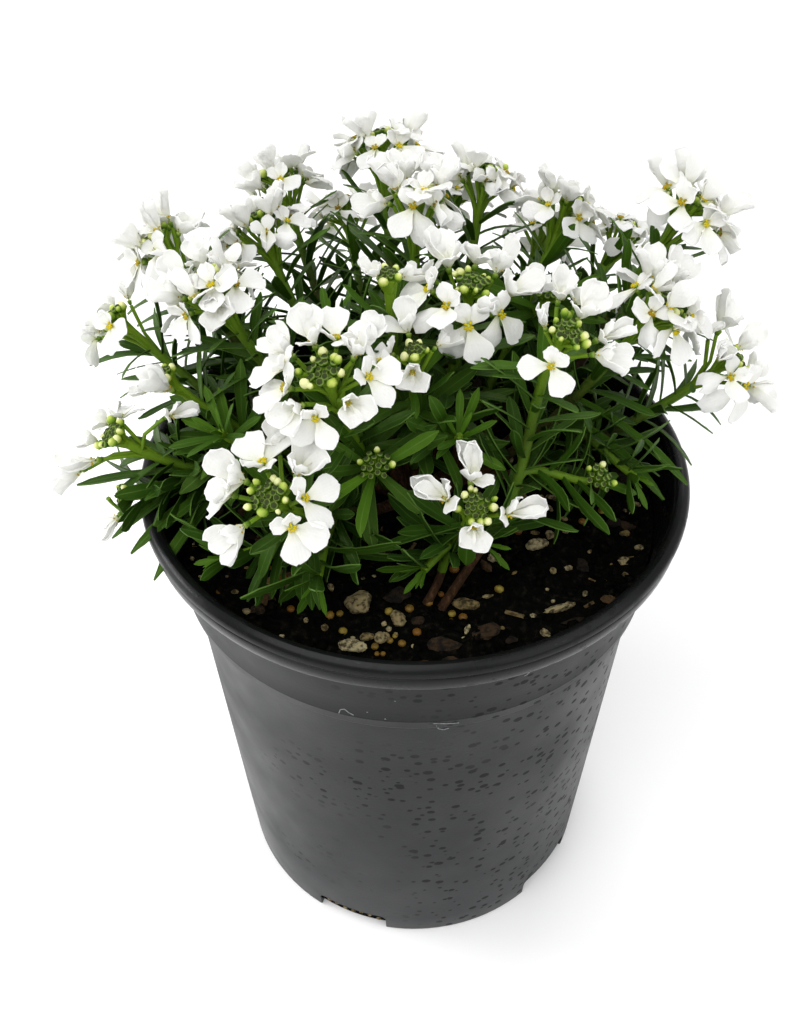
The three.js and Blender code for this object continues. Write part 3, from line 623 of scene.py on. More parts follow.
# The flash threads are pale grey to paint their shine: a painted highlight.
flash_highlight_finish = make_lump_finish("flash_painted_highlight", (0.30, 0.31, 0.32), (0.40, 0.41, 0.42),
                                (0.16, 0.17, 0.18), 900, 0.0001, 0.4)
floor.data.materials.append(make_floor_finish())
print("pot and soil finishes ready")

# %% [markdown]
# ## Selecting and joining
# Modelling tools act on what is selected. These helpers select points of a mesh by a rule about their
# place, copy a finished template with its own mesh into a new place, and join many copies into one piece.


# %% Selecting and joining
def select_points(body, rule):
    """In edit mode, selects the points that the rule picks, and no others."""
    mesh = bmesh.from_edit_mesh(body.data)
    for point in mesh.verts:
        point.select = rule(point)
    mesh.select_flush_mode()
    bmesh.update_edit_mesh(body.data)


def set_values(body, name, values):
    """Writes one number per point, which a finish can read by that name."""
    layer = body.data.attributes.get(name) or body.data.attributes.new(name, "FLOAT", "POINT")
    layer.data.foreach_set("value", values)


def copy_to(template, matrix, tone=0.0):
    """A copy of a template with its own mesh, moved to its place, with its own tone."""
    piece = bpy.data.objects.new(template.name + "_copy", template.data.copy())
    piece.data.transform(matrix)
    if not template.get("toned"):
        set_values(piece, "tone", [tone] * len(piece.data.vertices))
    scene.collection.objects.link(piece)
    return piece


def select_only(*bodies):
    """Selects these bodies and no others, and makes the first one active."""
    deselect_all()
    for body in bodies:
        body.select_set(True)
    bpy.context.view_layer.objects.active = bodies[0]


def join_pieces(name, pieces):
    select_only(*pieces)
    bpy.ops.object.join()
    joined = bpy.context.object
    joined.name = name
    joined.data.name = name
    return joined


def apply_modifier(body, kind, **settings):
    select_only(body)
    modifier = body.modifiers.new(kind.lower(), kind)
    for setting, value in settings.items():
        setattr(modifier, setting, value)
    bpy.ops.object.modifier_apply(modifier=modifier.name)


def shade_smooth(body, degrees=180):
    select_only(body)
    if degrees >= 180:
        bpy.ops.object.shade_smooth()
    else:
        bpy.ops.object.shade_smooth_by_angle(angle=math.radians(degrees))


def count_triangles(body):
    return sum(len(face.vertices) - 2 for face in body.data.polygons)


def hand_over(piece, slot_name, *nodes):
    """The finished piece rides on the plant's one body and stands for its plain solids."""
    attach(piece, "root")
    if nodes:
        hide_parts(*nodes)
    print(piece.name, count_triangles(piece), "triangles")


# %% [markdown]
# ## Leaf blades
# A leaf could be drawn as an outline and filled, but a narrow grid gives the channel along its midrib and
# clean unwrapping for nothing. Each row of the grid is scaled to the blade's width there and slid along to
# its place, then Solidify gives the leathery thickness. Seven habits are enough: straight, flat, arched,
# drooping, incurved, and two with a twist. A row is how far along it lies, half its width, its lift and how
# far its edges fall back, all in millimetres. A leaf's lift comes from its arch, so LEAF_ROWS has none.


# %% Leaf blades
def shape_blade(name, rows, columns, channel, thickness, finish, twist, ruffle, crease=0.0):
    """A grid shaped row by row: the twist in degrees, all else in mm. Ruffle pushes the points about."""
    deselect_all()
    bpy.ops.mesh.primitive_grid_add(x_subdivisions=columns, y_subdivisions=len(rows) - 1, size=1)
    blade = bpy.context.object
    blade.name = name
    steps = len(rows) - 1
    row_of = [round((point.co.y + 0.5) * steps) for point in blade.data.vertices]
    side_of = [abs(round(2 * point.co.x, 3)) for point in blade.data.vertices]
    bpy.ops.object.mode_set(mode="EDIT")
    for row, (along, half_width, lift, fall) in enumerate(rows):
        start = row / steps - 0.5
        select_points(blade, lambda point: row_of[point.index] == row)
        bpy.ops.transform.resize(value=(2 * half_width * MM, 1, 1), center_override=(0, start, 0))
        bpy.ops.transform.translate(value=(0, along * MM - start, lift * MM))
        for side in sorted(set(side_of)):
            select_points(blade, lambda point: row_of[point.index] == row and side_of[point.index] == side)
            rise = channel * side * side * min(1, half_width) - (0 if side else crease)
            bpy.ops.transform.translate(value=(0, -fall * side * side * MM, rise * MM))
        if twist:
            select_points(blade, lambda point: row_of[point.index] == row)
            bpy.ops.transform.rotate(value=math.radians(twist) * row / steps, orient_axis="Y",
                                     center_override=(0, 0, 0))
    select_points(blade, lambda point: row_of[point.index] > 1)
    bpy.ops.transform.vertex_random(offset=ruffle * MM, uniform=0.0, normal=0.0, seed=len(bpy.data.meshes))
    bpy.ops.object.mode_set(mode="OBJECT")
    apply_modifier(blade, "SOLIDIFY", thickness=thickness * MM, offset=0.0)
    blade.data.materials.append(finish)
    shade_smooth(blade, 55)
    return blade


LEAF_LENGTH = 22
LEAF_THICKNESS, LEAF_RUFFLE = 0.36, 0.14
LEAF_ROWS = [(0, 0.8, 0), (4, 1.1, 0), (9, 1.45, 0), (14, 1.75, 0.1), (18, 1.75, 0.3), (20.6, 1.3, 0.5),
             (22, 0.6, 0.4), (22.6, 0.2, 0.1)]


def leaf_template(name, arch, channel, twist=0.0):
    """Arch lifts the tip, or lets it droop if below zero, and channel lifts the edges, in mm."""
    rows = [(along, half_width, arch * (along / LEAF_LENGTH) ** 2, fall)
            for along, half_width, fall in LEAF_ROWS]
    return shape_blade(name, rows, 2, channel, LEAF_THICKNESS, leaf_finish, twist, LEAF_RUFFLE)


leaves = [
    leaf_template("leaf_straight", -1.4, 0.35),
    leaf_template("leaf_flat", -2.6, 0.2),
    leaf_template("leaf_arched", -5.2, 0.35),
    leaf_template("leaf_drooping", -7.2, 0.45),
    leaf_template("leaf_incurved", 3.8, 0.5),
    leaf_template("leaf_turned_left", -3.2, 0.3, 30),
    leaf_template("leaf_turned_right", -4.0, 0.3, -34),
]
print("leaf templates:", len(leaves), "triangles each", count_triangles(leaves[0]))

# %% [markdown]
# ## Petals and florets
# A candytuft floret has four petals: two large ones on the side away from the head's middle, two small
# ones towards it. Petals are made as the leaves are, wider and thinner, with blunt ends. A real petal is
# never a clean spoon: it cups, folds along its middle, rolls back or stays crumpled from the bud. So the
# rows of the large petal are bent in nine ways and those of the small one in four, and the points are
# pushed about a little before the petal gets its thickness.

# %% Petals
PETAL_THICKNESS, PETAL_RUFFLE, PETAL_CREASE = 0.24, 0.4, 0.28
LARGE_ROWS = [(0, 0.5, 0, 0), (1.9, 1.3, 0.1, 0), (3.8, 2.75, 0.3, 0.1), (5.5, 3.5, 0.4, 0.2),
              (7.1, 3.75, 0.4, 0.5), (8.4, 3.4, 0.3, 0.8), (9.2, 2.5, 0.1, 0.7), (9.6, 1.3, 0, 0.2)]
SMALL_ROWS = [(0, 0.5, 0, 0), (1.2, 1.1, 0.1, 0), (2.8, 2.1, 0.3, 0.2), (4.1, 2.45, 0.5, 0.3),
              (5.0, 2.15, 0.5, 0.5), (5.6, 1.5, 0.5, 0.4), (5.9, 0.8, 0.4, 0.2)]


def petal_template(name, rows, curl, channel, slim=1.0, twist=0.0):
    """Curl lifts the tip, channel lifts the edges, slim narrows the blade, all in millimetres or shares."""
    reach = rows[-1][0]
    bent = [(along, half_width * slim, lift + curl * (along / reach) ** 2, fall)
            for along, half_width, lift, fall in rows]
    return shape_blade(name, bent, 4, channel, PETAL_THICKNESS, petal_finish, twist, PETAL_RUFFLE,
                       PETAL_CREASE)


flat = petal_template("petal_flat", LARGE_ROWS, -0.4, 0.5)
broad = petal_template("petal_broad", LARGE_ROWS, 0.9, 0.9, 1.1)
cupped = petal_template("petal_cupped", LARGE_ROWS, 3.0, 1.8)
hooded = petal_template("petal_hooded", LARGE_ROWS, 5.2, 1.2, 0.95)
folded = petal_template("petal_folded", LARGE_ROWS, 0.8, 3.4, 0.72, 14)
reflexed = petal_template("petal_reflexed", LARGE_ROWS, -3.6, -1.0)
rolled = petal_template("petal_rolled", LARGE_ROWS, -2.2, -2.4, 0.85, -18)
wavy = petal_template("petal_wavy", LARGE_ROWS, 1.6, -0.6, 1.0, 24)
slender = petal_template("petal_slender", LARGE_ROWS, 2.4, 1.3, 0.58, 10)
near_flat = petal_template("petal_small_flat", SMALL_ROWS, 0.2, 0.3)
near_cupped = petal_template("petal_small_cupped", SMALL_ROWS, 1.6, 0.9)
near_folded = petal_template("petal_small_folded", SMALL_ROWS, 0.6, 1.8, 0.8, 12)
near_curled = petal_template("petal_small_curled", SMALL_ROWS, -1.4, -0.7)
petals = [flat, broad, cupped, hooded, folded, reflexed, rolled, wavy, slender, near_flat, near_cupped,
          near_folded, near_curled]
print("petal templates:", len(petals), "triangles each", count_triangles(flat))

# %% [markdown]
# ## Putting a floret together
# Each line of the next list is one habit of floret: its four petals, each with the way it points round the
# floret and how far it is raised from flat, in degrees. A flat floret is fully open, one with its large
# pair up has just opened, and a hanging one is old. Every floret of the plant is a copy of one of these.


# %% Florets
def round_template(name, size, stretch, finish, smooth=1, foot=1.0):
    """A small rounded body, drawn out or squashed along its height and narrowed at its foot."""
    deselect_all()
    bpy.ops.mesh.primitive_ico_sphere_add(subdivisions=smooth, radius=size * MM)
    body = bpy.context.object
    body.name = name
    bpy.ops.object.mode_set(mode="EDIT")
    bpy.ops.transform.resize(value=(1, 1, stretch), center_override=(0, 0, 0))
    select_points(body, lambda point: point.co.z < -0.2 * size * MM)
    bpy.ops.transform.resize(value=(foot, foot, 1), center_override=(0, 0, 0))
    bpy.ops.mesh.select_all(action="SELECT")
    bpy.ops.transform.vertex_random(offset=0.1 * size * MM, uniform=0.0, normal=0.0, seed=7)
    bpy.ops.object.mode_set(mode="OBJECT")
    body.data.materials.append(finish)
    heights = [point.co.z for point in body.data.vertices]
    low, high = min(heights), max(heights)
    set_values(body, "up", [(height - low) / (high - low) for height in heights])
    shade_smooth(body)
    return body


anther = round_template("anther", 0.34, 2.0, anther_finish)
eye = round_template("floret_eye", 0.7, 1.3, bud_finish)
calyx = round_template("calyx", 1.05, 1.3, calyx_finish, 1, 0.7)


def turn_and_tilt(azimuth, tilt, out, lift):
    """A petal's place on the floret: turned round it, lifted from flat, off the middle and up, in mm."""
    turn = Matrix.Rotation(math.radians(-azimuth), 4, "Z")
    raised = Matrix.Rotation(math.radians(tilt), 4, "X")
    return turn @ Matrix.Translation((0, out * MM, lift * MM)) @ raised


def floret_template(name, places, anther_tone):
    """A floret in its own frame: +Y away from the head's middle, +Z its face."""
    parts = []
    for layer, (petal, azimuth, tilt) in enumerate(places):
        parts.append(copy_to(petal, turn_and_tilt(azimuth, tilt, 0.3, 0.1 + 0.12 * layer)))
    for azimuth in (-75, -28, 12, 50, 110, 200):
        place = turn_and_tilt(azimuth, 66, 0.85, 1.5)
        parts.append(copy_to(anther, place, anther_tone))
    parts.append(copy_to(eye, Matrix.Translation((0, 0, 0.8 * MM)), 0.3))
    floret = join_pieces(name, parts)
    floret["toned"] = True
    return floret


HABITS = {
    "open": [(flat, 32, 8), (broad, -33, 14), (near_flat, 144, 20), (near_cupped, -147, 26)],
    "wide": [(wavy, 42, 6), (flat, -34, 16), (near_cupped, 150, 36), (near_flat, -138, 22)],
    "hanging": [(reflexed, 27, -8), (flat, -30, -4), (near_flat, 144, 14), (near_curled, -150, 24)],
    "pair_up": [(broad, 25, 58), (cupped, -27, 50), (near_cupped, 144, 34), (near_flat, -148, 24)],
    "one_up": [(hooded, 14, 62), (wavy, -54, 16), (near_cupped, 150, 44), (near_folded, -140, 30)],
    "ears": [(slender, 20, 62), (folded, -26, 54), (near_flat, 140, 20), (near_cupped, -152, 38)],
    "spread": [(flat, 56, -6), (broad, -58, 0), (near_flat, 148, 14), (near_flat, -150, 18)],
    "boat": [(cupped, 42, 36), (cupped, -40, 30), (near_cupped, 146, 52), (near_cupped, -142, 46)],
    "rolled": [(rolled, 36, 22), (broad, -34, 34), (near_curled, 140, 26), (near_flat, -146, 34)],
    "faded": [(rolled, 34, 34), (folded, -30, 26), (near_curled, 148, 18), (near_curled, -138, 30)],
    "closing": [(hooded, 22, 66), (cupped, -24, 62), (near_cupped, 150, 70), (near_folded, -148, 66)],
}
for habit, places in list(HABITS.items()):
    HABITS[habit + "_left"] = [(petal, -azimuth, tilt) for petal, azimuth, tilt in places]
florets = {habit: floret_template("floret_" + habit, places, 1.0 if "faded" in habit else 0.05 * number)
           for number, (habit, places) in enumerate(HABITS.items())}
print("floret templates:", len(florets), "triangles each", count_triangles(florets["open"]))

# %% [markdown]
# ## Buds
# Round the middle of a head stand cream buds about to open, and inside them a mosaic of tiny green ones,
# each with a pale rim. Both are small rounded bodies, tapered towards the foot.

# %% Buds
cream_bud = round_template("bud_opening", 1.1, 1.45, bud_finish, 2, 0.7)
green_bud = round_template("bud_closed", 0.95, 1.1, green_bud_finish, 2, 0.9)
print("bud templates:", count_triangles(cream_bud), "triangles each")

# %% [markdown]
# ## Lines that the stems follow
# Each stem leaves the woody crown pointing outwards and ends upright under its flower head. A Bezier line
# does that with four points. It is sampled once, so that a place on it can be asked for by the share of
# its length.


# %% Stem lines
class Line:
    """A smooth line in millimetres, with places and directions by the share of its length."""

    def __init__(self, start, start_axis, end, end_axis):
        reach = (end - start).length
        first = start + start_axis * (0.35 * reach)
        second = end - end_axis * (0.35 * reach)
        steps = 48
        self.points = []
        for step in range(steps + 1):
            t = step / steps
            s = 1 - t
            self.points.append(start * s ** 3 + first * (3 * s * s * t) + second * (3 * s * t * t)
                               + end * t ** 3)
        self.lengths = [0.0]
        for one, other in zip(self.points, self.points[1:]):
            self.lengths.append(self.lengths[-1] + (other - one).length)
        self.length = self.lengths[-1]

    def place(self, share):
        wanted = max(0.0, min(1.0, share)) * self.length
        for number in range(1, len(self.points)):
            if self.lengths[number] >= wanted:
                break
        before = self.lengths[number - 1]
        part = (wanted - before) / max(self.lengths[number] - before, 1e-9)
        return self.points[number - 1].lerp(self.points[number], part)

    def direction(self, share):
        return (self.place(share + 0.02) - self.place(share - 0.02)).normalized()


def head_axis(at):
    """The way a head faces: the further out it stands, the further it leans out."""
    reach = math.hypot(at[0], at[1])
    tilt = math.radians(min(52, reach * 0.5))
    out = Vector((at[0], at[1], 0)) / max(reach, 1)
    return out * math.sin(tilt) + Vector((0, 0, math.cos(tilt)))


def crown_tip(at, tip):
    """Where the stem of a head leaves the crown, by the same rule as in the solids."""
    if tip:
        return Vector(tip)
    height = SOIL_LEVEL + 24 - 0.12 * math.hypot(at[0], at[1]) + 0.08 * (at[2] - 220)
    return Vector((0.36 * at[0], 0.36 * at[1], height))


def tip_axis(at, tip):
    root = FRONT_CENTRE if tip else CROWN_CENTRE
    return (crown_tip(at, tip) - root + Vector((0, 0, 6))).normalized()


def stem_line(at, tip):
    axis = head_axis(at)
    return Line(crown_tip(at, tip), tip_axis(at, tip), Vector(at) - axis * HEAD_DEPTH, axis)


def leaning(axis, turn, lean):
    """Out from an axis, leaning out from it by some degrees, and outwards square to that lean."""
    across = axis.cross(Vector((0, 1, 0))).normalized()
    out = across * math.cos(turn) + axis.cross(across) * math.sin(turn)
    cosine, sine = math.cos(math.radians(lean)), math.sin(math.radians(lean))
    return out, axis * cosine + out * sine, out * cosine - axis * sine


stem_lines = [stem_line(at, tip) for at, radius, tip in BLOOMS]
shoot_lines = []
for parent, share, at, has_buds in SHOOTS:
    start = stem_lines[parent].place(share)
    shoot_lines.append(Line(start, stem_lines[parent].direction(share), Vector(at), head_axis(at)))
print("longest stem", round(max(line.length for line in stem_lines)), "mm")


# %% [markdown]
# ## Tubes for stems, stalks and wood
# A stem is a bevelled curve: its points carry their own radius, so it tapers. All strokes of one piece are
# splines of one curve, and the curve is made a mesh at the end.


# %% Tubes
def draw_tubes(name, strokes, finish, roundness=1):
    """Each stroke is its points in mm and the radius at each in mm."""
    curve = bpy.data.curves.new(name, "CURVE")
    curve.dimensions = "3D"
    curve.bevel_depth = MM
    curve.bevel_resolution = roundness
    curve.use_fill_caps = True
    curve.materials.append(finish)
    for points, radii in strokes:
        spline = curve.splines.new("POLY")
        spline.points.add(len(points) - 1)
        for knot, point, radius in zip(spline.points, points, radii):
            knot.co = (*(point * MM), 1)
            knot.radius = radius
    tubes = bpy.data.objects.new(name, curve)
    scene.collection.objects.link(tubes)
    select_only(tubes)
    bpy.ops.object.convert(target="MESH")
    tubes = bpy.context.object
    shade_smooth(tubes)
    return tubes


def taper(line, steps, thick, thin, until=1.0):
    """The stroke of a line, from thick to thin, as far as a share of its length."""
    shares = [until * step / steps for step in range(steps + 1)]
    return [line.place(share) for share in shares], [thick + (thin - thick) * share for share in shares]


# %% [markdown]
# ## Where leaves may be
# A leaf may not stand in a flower head, in the soil or in the pot's wall. Nor may it cover soil that the
# photograph shows bare, so the lower edge of the leaves is kept as a line of pixels, and no blade may show
# below it. Each blade is tested at a few points before it is kept.


# %% Where leaves may be
SOIL_CLEARANCE = 2.5
WALL_REACH, WALL_CLEARANCE = 73, 178.5
HEAD_HEIGHT = 9
CLUSTER_RADIUS = 7.5
heads = [(Vector(at), head_axis(at), radius) for at, radius, tip in BLOOMS]
heads += [(Vector(at), head_axis(at), CLUSTER_RADIUS) for parent, share, at, has_buds in SHOOTS if has_buds]
LOWEST_LEAVES = [(150, 530), (200, 592), (240, 608), (300, 617), (325, 612), (340, 596), (375, 580),
                 (410, 572), (445, 566), (468, 562), (490, 545), (530, 527), (560, 541), (580, 541),
                 (612, 532), (635, 505), (665, 478), (700, 462)]


def pixel_of(point):
    """Where a place, in mm, shows in the photograph."""
    camera = scene.camera
    seen = camera.rotation_euler.to_matrix().transposed() @ (point * MM - camera.location)
    right, down = -FOCAL_PIXELS * seen.x / seen.z, FOCAL_PIXELS * seen.y / seen.z
    return PHOTO_WIDTH / 2 + right, PHOTO_HEIGHT / 2 + down


def hides_soil(point):
    """Whether a leaf here would cover the soil that the photograph shows bare."""
    px, py = pixel_of(point)
    for (left, upper), (right, lower) in zip(LOWEST_LEAVES, LOWEST_LEAVES[1:]):
        if left <= px < right:
            return py > upper + (lower - upper) * (px - left) / (right - left)
    return False


def soil_top(x, y):
    waves = math.sin(0.11 * x + 0.7) * math.cos(0.09 * y - 0.4) + 0.5 * math.sin(0.23 * x - 0.19 * y)
    return SOIL_LEVEL + 2.2 * waves - 0.03 * max(0, x - 20)


def is_in_head(point, centre, axis, radius):
    offset = point - centre
    height = offset.dot(axis)
    across = (offset - axis * height).length
    return across < radius and -HEAD_DEPTH - 0.018 * across ** 2 < height < HEAD_HEIGHT


def is_free(points):
    """Whether points of a blade, in mm, are clear of the soil, the wall and the heads."""
    for point in points:
        if point.z < soil_top(point.x, point.y) + SOIL_CLEARANCE:
            return False
        if math.hypot(point.x, point.y) > WALL_REACH and point.z < WALL_CLEARANCE:
            return False
        if hides_soil(point) or any(is_in_head(point, *head) for head in heads):
            return False
    return True


print("heads and clusters that leaves keep clear of:", len(heads))

# %% [markdown]
# ## Leaves on a stem
# Leaves climb the stem in the golden-angle spiral, less than two millimetres apart, and lean out by about
# fifty degrees. One that isn't free is turned and raised by a few steps until it is, or else left out.
# Leaves that stand out in the photograph are listed by stem: the share of the stem that each grows from, the
# pixel of its tip and the tip's height, its habit and width and, where it matters, its tone.


# %% Leaves on a stem
LEAF_TRIES = ((54, 0), (46, 0.4), (62, -0.4), (40, -0.8), (68, 0.8), (32, 0.2), (26, 1.4))
LEAF_TIP = 22.4
SEEN_LEAVES = {
    1: [(0.8, 116, 279, 212, 3, 0.7), (0.72, 128, 300, 205, 2, 0.8)],
    4: [(0.82, 84, 342, 203, 3, 1.0), (0.6, 120, 362, 196, 2, 0.8), (0.45, 150, 372, 190, 1, 0.8)],
    6: [(0.62, 76, 474, 184, 1, 0.9), (0.5, 108, 508, 181, 3, 0.9), (0.45, 128, 530, 180, 2, 1.0),
        (0.4, 150, 545, 180, 3, 1.0), (0.55, 150, 480, 192, 2, 0.9), (0.5, 160, 440, 192, 0, 0.8),
        (0.4, 165, 505, 186, 2, 1.0), (0.42, 172, 470, 192, 0, 1.0)],
    8: [(0.75, 301, 608, 172, 1, 1.05, 0.12), (0.7, 312, 612, 172, 1, 1.1, 0.16),
        (0.66, 320, 610, 173, 0, 0.95, 0.08), (0.8, 262, 599, 173, 1, 1.0, 0.18),
        (0.78, 242, 600, 172, 0, 0.95, 0.1), (0.85, 250, 578, 180, 1, 1.5, 0.24)],
    19: [(0.5, 700, 462, 190, 2, 0.9), (0.4, 676, 470, 188, 3, 1.0)],
    21: [(0.9, 464, 568, 178, 1, 1.4, 0.3), (0.6, 446, 562, 172, 0, 0.8, 0.14),
         (0.65, 393, 572, 172, 1, 1.0, 0.12), (0.75, 380, 543, 182, 0, 0.9, 0.15),
         (0.6, 399, 527, 186, 1, 1.2, 0.2)],
}


def stand_on(origin, along, up, size, width=1.0):
    """The matrix that sets a template with its root at origin, its length along and its face up."""
    side = along.cross(up).normalized()
    face = side.cross(along).normalized()
    turn = Matrix((side, along.normalized(), face)).transposed().to_4x4()
    return Matrix.Translation(origin * MM) @ turn @ Matrix.Diagonal((size * width, size, size, 1))


def leaves_on(line, begin, end, spacing, young):
    """Copies of the leaf templates up a line. Young is how much smaller they get towards the tip."""
    count = max(4, round((end - begin) * line.length / spacing))
    phase = chance.uniform(0, 2 * math.pi)
    blades = []
    for number in range(count):
        share = begin + (end - begin) * (number + 0.5) / count
        youth = max(0.0, (share - 0.62) / 0.38)
        size = chance.uniform(0.68, 1.04) * (1 - young * youth)
        width = chance.uniform(0.92, 1.34)
        habit = chance.choice(leaves)
        centre, axis = line.place(share), line.direction(share)
        # Leaves low in the bush get a lower, darker tone: painted shade among the foliage.
        height_for_painted_shade = min(1.0, max(0.0, (centre.z - 172) / 50))
        tone = min(1.0, chance.uniform(0.0, 0.18) + 0.16 * height_for_painted_shade + 0.5 * youth * chance.uniform(0.3, 1.2))
        jitter = chance.uniform(-8, 8)
        for lean, extra in LEAF_TRIES:
            out, along, outward = leaning(axis, phase + number * GOLDEN_ANGLE + extra, lean + jitter)
            root = centre + out * 0.9
            if is_free([root + along * (LEAF_LENGTH * size * part) for part in (0.55, 0.8, 1.0)]):
                blades.append(copy_to(habit, stand_on(root, along, -outward, size, width), tone))
                break
    return blades


def seen_leaves(number):
    """The listed leaves of one stem, each as long as the way from its root to its tip."""
    line = stem_lines[number]
    blades = []
    for share, px, py, height, habit, width, *tone in SEEN_LEAVES.get(number, []):
        root = line.place(share)
        along = at_height(px, py, height) - root
        size = along.length / LEAF_TIP
        place = stand_on(root, along.normalized(), Vector((0, 0, 1)), size, width / size)
        blades.append(copy_to(leaves[habit], place, tone[0] if tone else chance.uniform(0.2, 0.4)))
    return blades


# %% [markdown]
# ## One flower head
# By rule, the florets stand round the buds at two levels: lower ones that lean well out, and between them
# younger ones that stand higher, with their petals still raised. Their stalks fan out from the last
# centimetre of the stem. The florets become one piece, and their stalks, cups and buds belong to the green
# piece below.


# %% Flower heads
YOUNG_HABITS = ("pair_up", "one_up", "ears", "boat", "open", "wide", "spread")
OLD_HABITS = ("open", "wide", "hanging", "boat", "rolled", "spread", "faded", "open")
REAR_HABITS = ("open", "wide", "boat", "spread", "rolled", "pair_up", "spread")


def floret_plan(number):
    """Where each floret of a head stands: its turn, reach, rise, lean, habit and size."""
    at, radius, tip = BLOOMS[number]
    if number in SEEN_FLORETS:
        return [(math.radians(clock + 180), *rest) for clock, *rest in SEEN_FLORETS[number]]
    phase = chance.uniform(0, 2 * math.pi)
    ring = 0.52 * radius if radius > 10 else 3.6
    total = FEW_OPEN.get(number, round(0.82 * radius))
    rear = at[1] > 35
    plan = []
    for step in range(total):
        young = step % 2
        turn = phase + 2 * math.pi * step / total + chance.uniform(-0.16, 0.16)
        reach = ring * (0.82 if young else 1.06)
        rise = (1.8 if young else -1.4) - 0.011 * reach * reach - (1.6 if rear else 0)
        lean = chance.uniform(4, 30) if young else chance.uniform(36, 68)
        habits = OLD_HABITS if not young else REAR_HABITS if rear else YOUNG_HABITS
        habit = chance.choice(habits) + chance.choice(("", "_left"))
        size = min(1.0, (radius + 4) / 18) * chance.uniform(0.84, 1.02) * (0.92 if rear else 1)
        plan.append((turn, reach, rise, lean, habit, size))
    return plan


def place_floret(centre, axis, foot_line, plan):
    """One floret, its cup and the stroke of its stalk, from a place round a head's middle."""
    turn, reach, rise, lean, habit, size = plan
    out, face, outward = leaning(axis, turn, lean)
    middle = centre + out * reach + axis * rise
    floret = copy_to(florets[habit], stand_on(middle, outward, face, size))
    cup = copy_to(calyx, stand_on(middle - face, outward, face, size), 0.2)
    start = foot_line.place(chance.uniform(0.74, 0.93))
    foot = middle - face * 1.9
    bend = start.lerp(foot, 0.5) + (axis - out) * min(1.6, 0.12 * reach)
    return floret, cup, ([start, bend, foot], [0.7, 0.55, 0.6])


print("heads filled by rule:", len(BLOOMS) - len(SEEN_FLORETS))

# %% [markdown]
# ## Buds of a head and ends of side shoots
# The cream buds stand in a ring and lean out, and the green ones fill the middle in the golden-angle spiral,
# as the seeds of a sunflower do. A side shoot ends in a closed cluster of both, or in a rosette of young
# leaves whose outer ones lean out while the inner ones stand up.


# %% Buds and rosettes
BUD_COUNT = 18
ROSETTE_LEAVES = 10


def head_parts(number):
    """The florets of a head, its buds, and the strokes of its stalks."""
    at, radius, tip = BLOOMS[number]
    centre, axis, line = Vector(at), head_axis(at), stem_lines[number]
    open_florets, greens, strokes = [], [], []
    for plan in floret_plan(number):
        floret, cup, stroke = place_floret(centre, axis, line, plan)
        open_florets.append(floret)
        greens.append(cup)
        strokes.append(stroke)
    dome = min(5.8, 0.34 * radius + 0.4)
    creams = 9 if radius > 12 else 5
    phase = chance.uniform(0, 2 * math.pi)
    for step in range(creams):
        turn = phase + 2 * math.pi * (step + 0.5) / creams + chance.uniform(-0.32, 0.32)
        out, up, along = leaning(axis, turn, chance.uniform(20, 40))
        place = centre + out * (dome * chance.uniform(0.68, 0.96)) + axis * chance.uniform(0, 1.6)
        size = chance.uniform(0.7, 1.25)
        width = chance.uniform(0.85, 1.2)
        greens.append(copy_to(cream_bud, stand_on(place, along, up, size, width), chance.uniform(0, 1)))
        strokes.append(([centre - axis * 4, place - up], [0.6, 0.55]))
    for step in range(BUD_COUNT):
        spread = 0.66 * dome * math.sqrt((step + 0.5) / BUD_COUNT) * chance.uniform(0.88, 1.08)
        turn = step * GOLDEN_ANGLE + chance.uniform(-0.2, 0.2)
        out, up, along = leaning(axis, turn, 7 * spread)
        place = centre + out * spread + axis * (1.6 - 0.06 * spread * spread + chance.uniform(-0.3, 0.3))
        size = (0.62 + 0.13 * spread) * chance.uniform(0.82, 1.16)
        greens.append(copy_to(green_bud, stand_on(place, along, up, size), 0.3))
    strokes.append(([line.place(1.0), centre - axis * 1.8, centre + axis * 0.3], [1.3, 2.0, 3.0]))
    return open_florets, greens, strokes


def bud_cluster(line, share, strokes):
    """The closed cluster at the tip of a side shoot; its stalks are added to the strokes."""
    tip, axis = line.place(share), line.direction(share)
    greens = []
    for step in range(BUD_COUNT):
        spread = 4.4 * math.sqrt((step + 0.5) / BUD_COUNT)
        out, up, along = leaning(axis, step * GOLDEN_ANGLE, 7 * spread)
        place = tip + out * spread + axis * (2.0 - 0.06 * spread * spread)
        template = cream_bud if step > 11 and step % 2 else green_bud
        size = chance.uniform(0.7, 1.0)
        greens.append(copy_to(template, stand_on(place, along, up, size), chance.uniform(0, 1)))
        strokes.append(([tip - axis * 2, place - up * 0.6], [0.5, 0.45]))
    return greens


def rosette(line, share):
    """The tuft of young leaves that closes a side shoot, paler towards its middle."""
    tip, axis = line.place(share), line.direction(share)
    blades = []
    for number in range(ROSETTE_LEAVES):
        lean = 66 - 6 * number + chance.uniform(-5, 5)
        out, along, outward = leaning(axis, number * GOLDEN_ANGLE, lean)
        root = tip - axis * (2.4 - 0.22 * number) + out * 0.5
        size = (0.74 - 0.06 * number) * chance.uniform(0.9, 1.08)
        if number > 3 or is_free([root + along * (LEAF_LENGTH * size)]):
            place = stand_on(root, along, -outward, size, 1.1)
            blades.append(copy_to(leaves[number % 2], place, 0.24 + 0.055 * number))
    return blades


print("buds in a head:", BUD_COUNT, "and the cream ones; leaves in a rosette:", ROSETTE_LEAVES)

# %% [markdown]
# ## Whole stems
# A stem's tube, its side shoots, leaves, cups and buds become one green piece, and its florets one white
# piece. Green wood is brown at its foot and lime near a flower, so each point of the tubes gets a tone that
# falls with the way from the nearest tip.


# %% Whole stems
LIME_REACH = 52


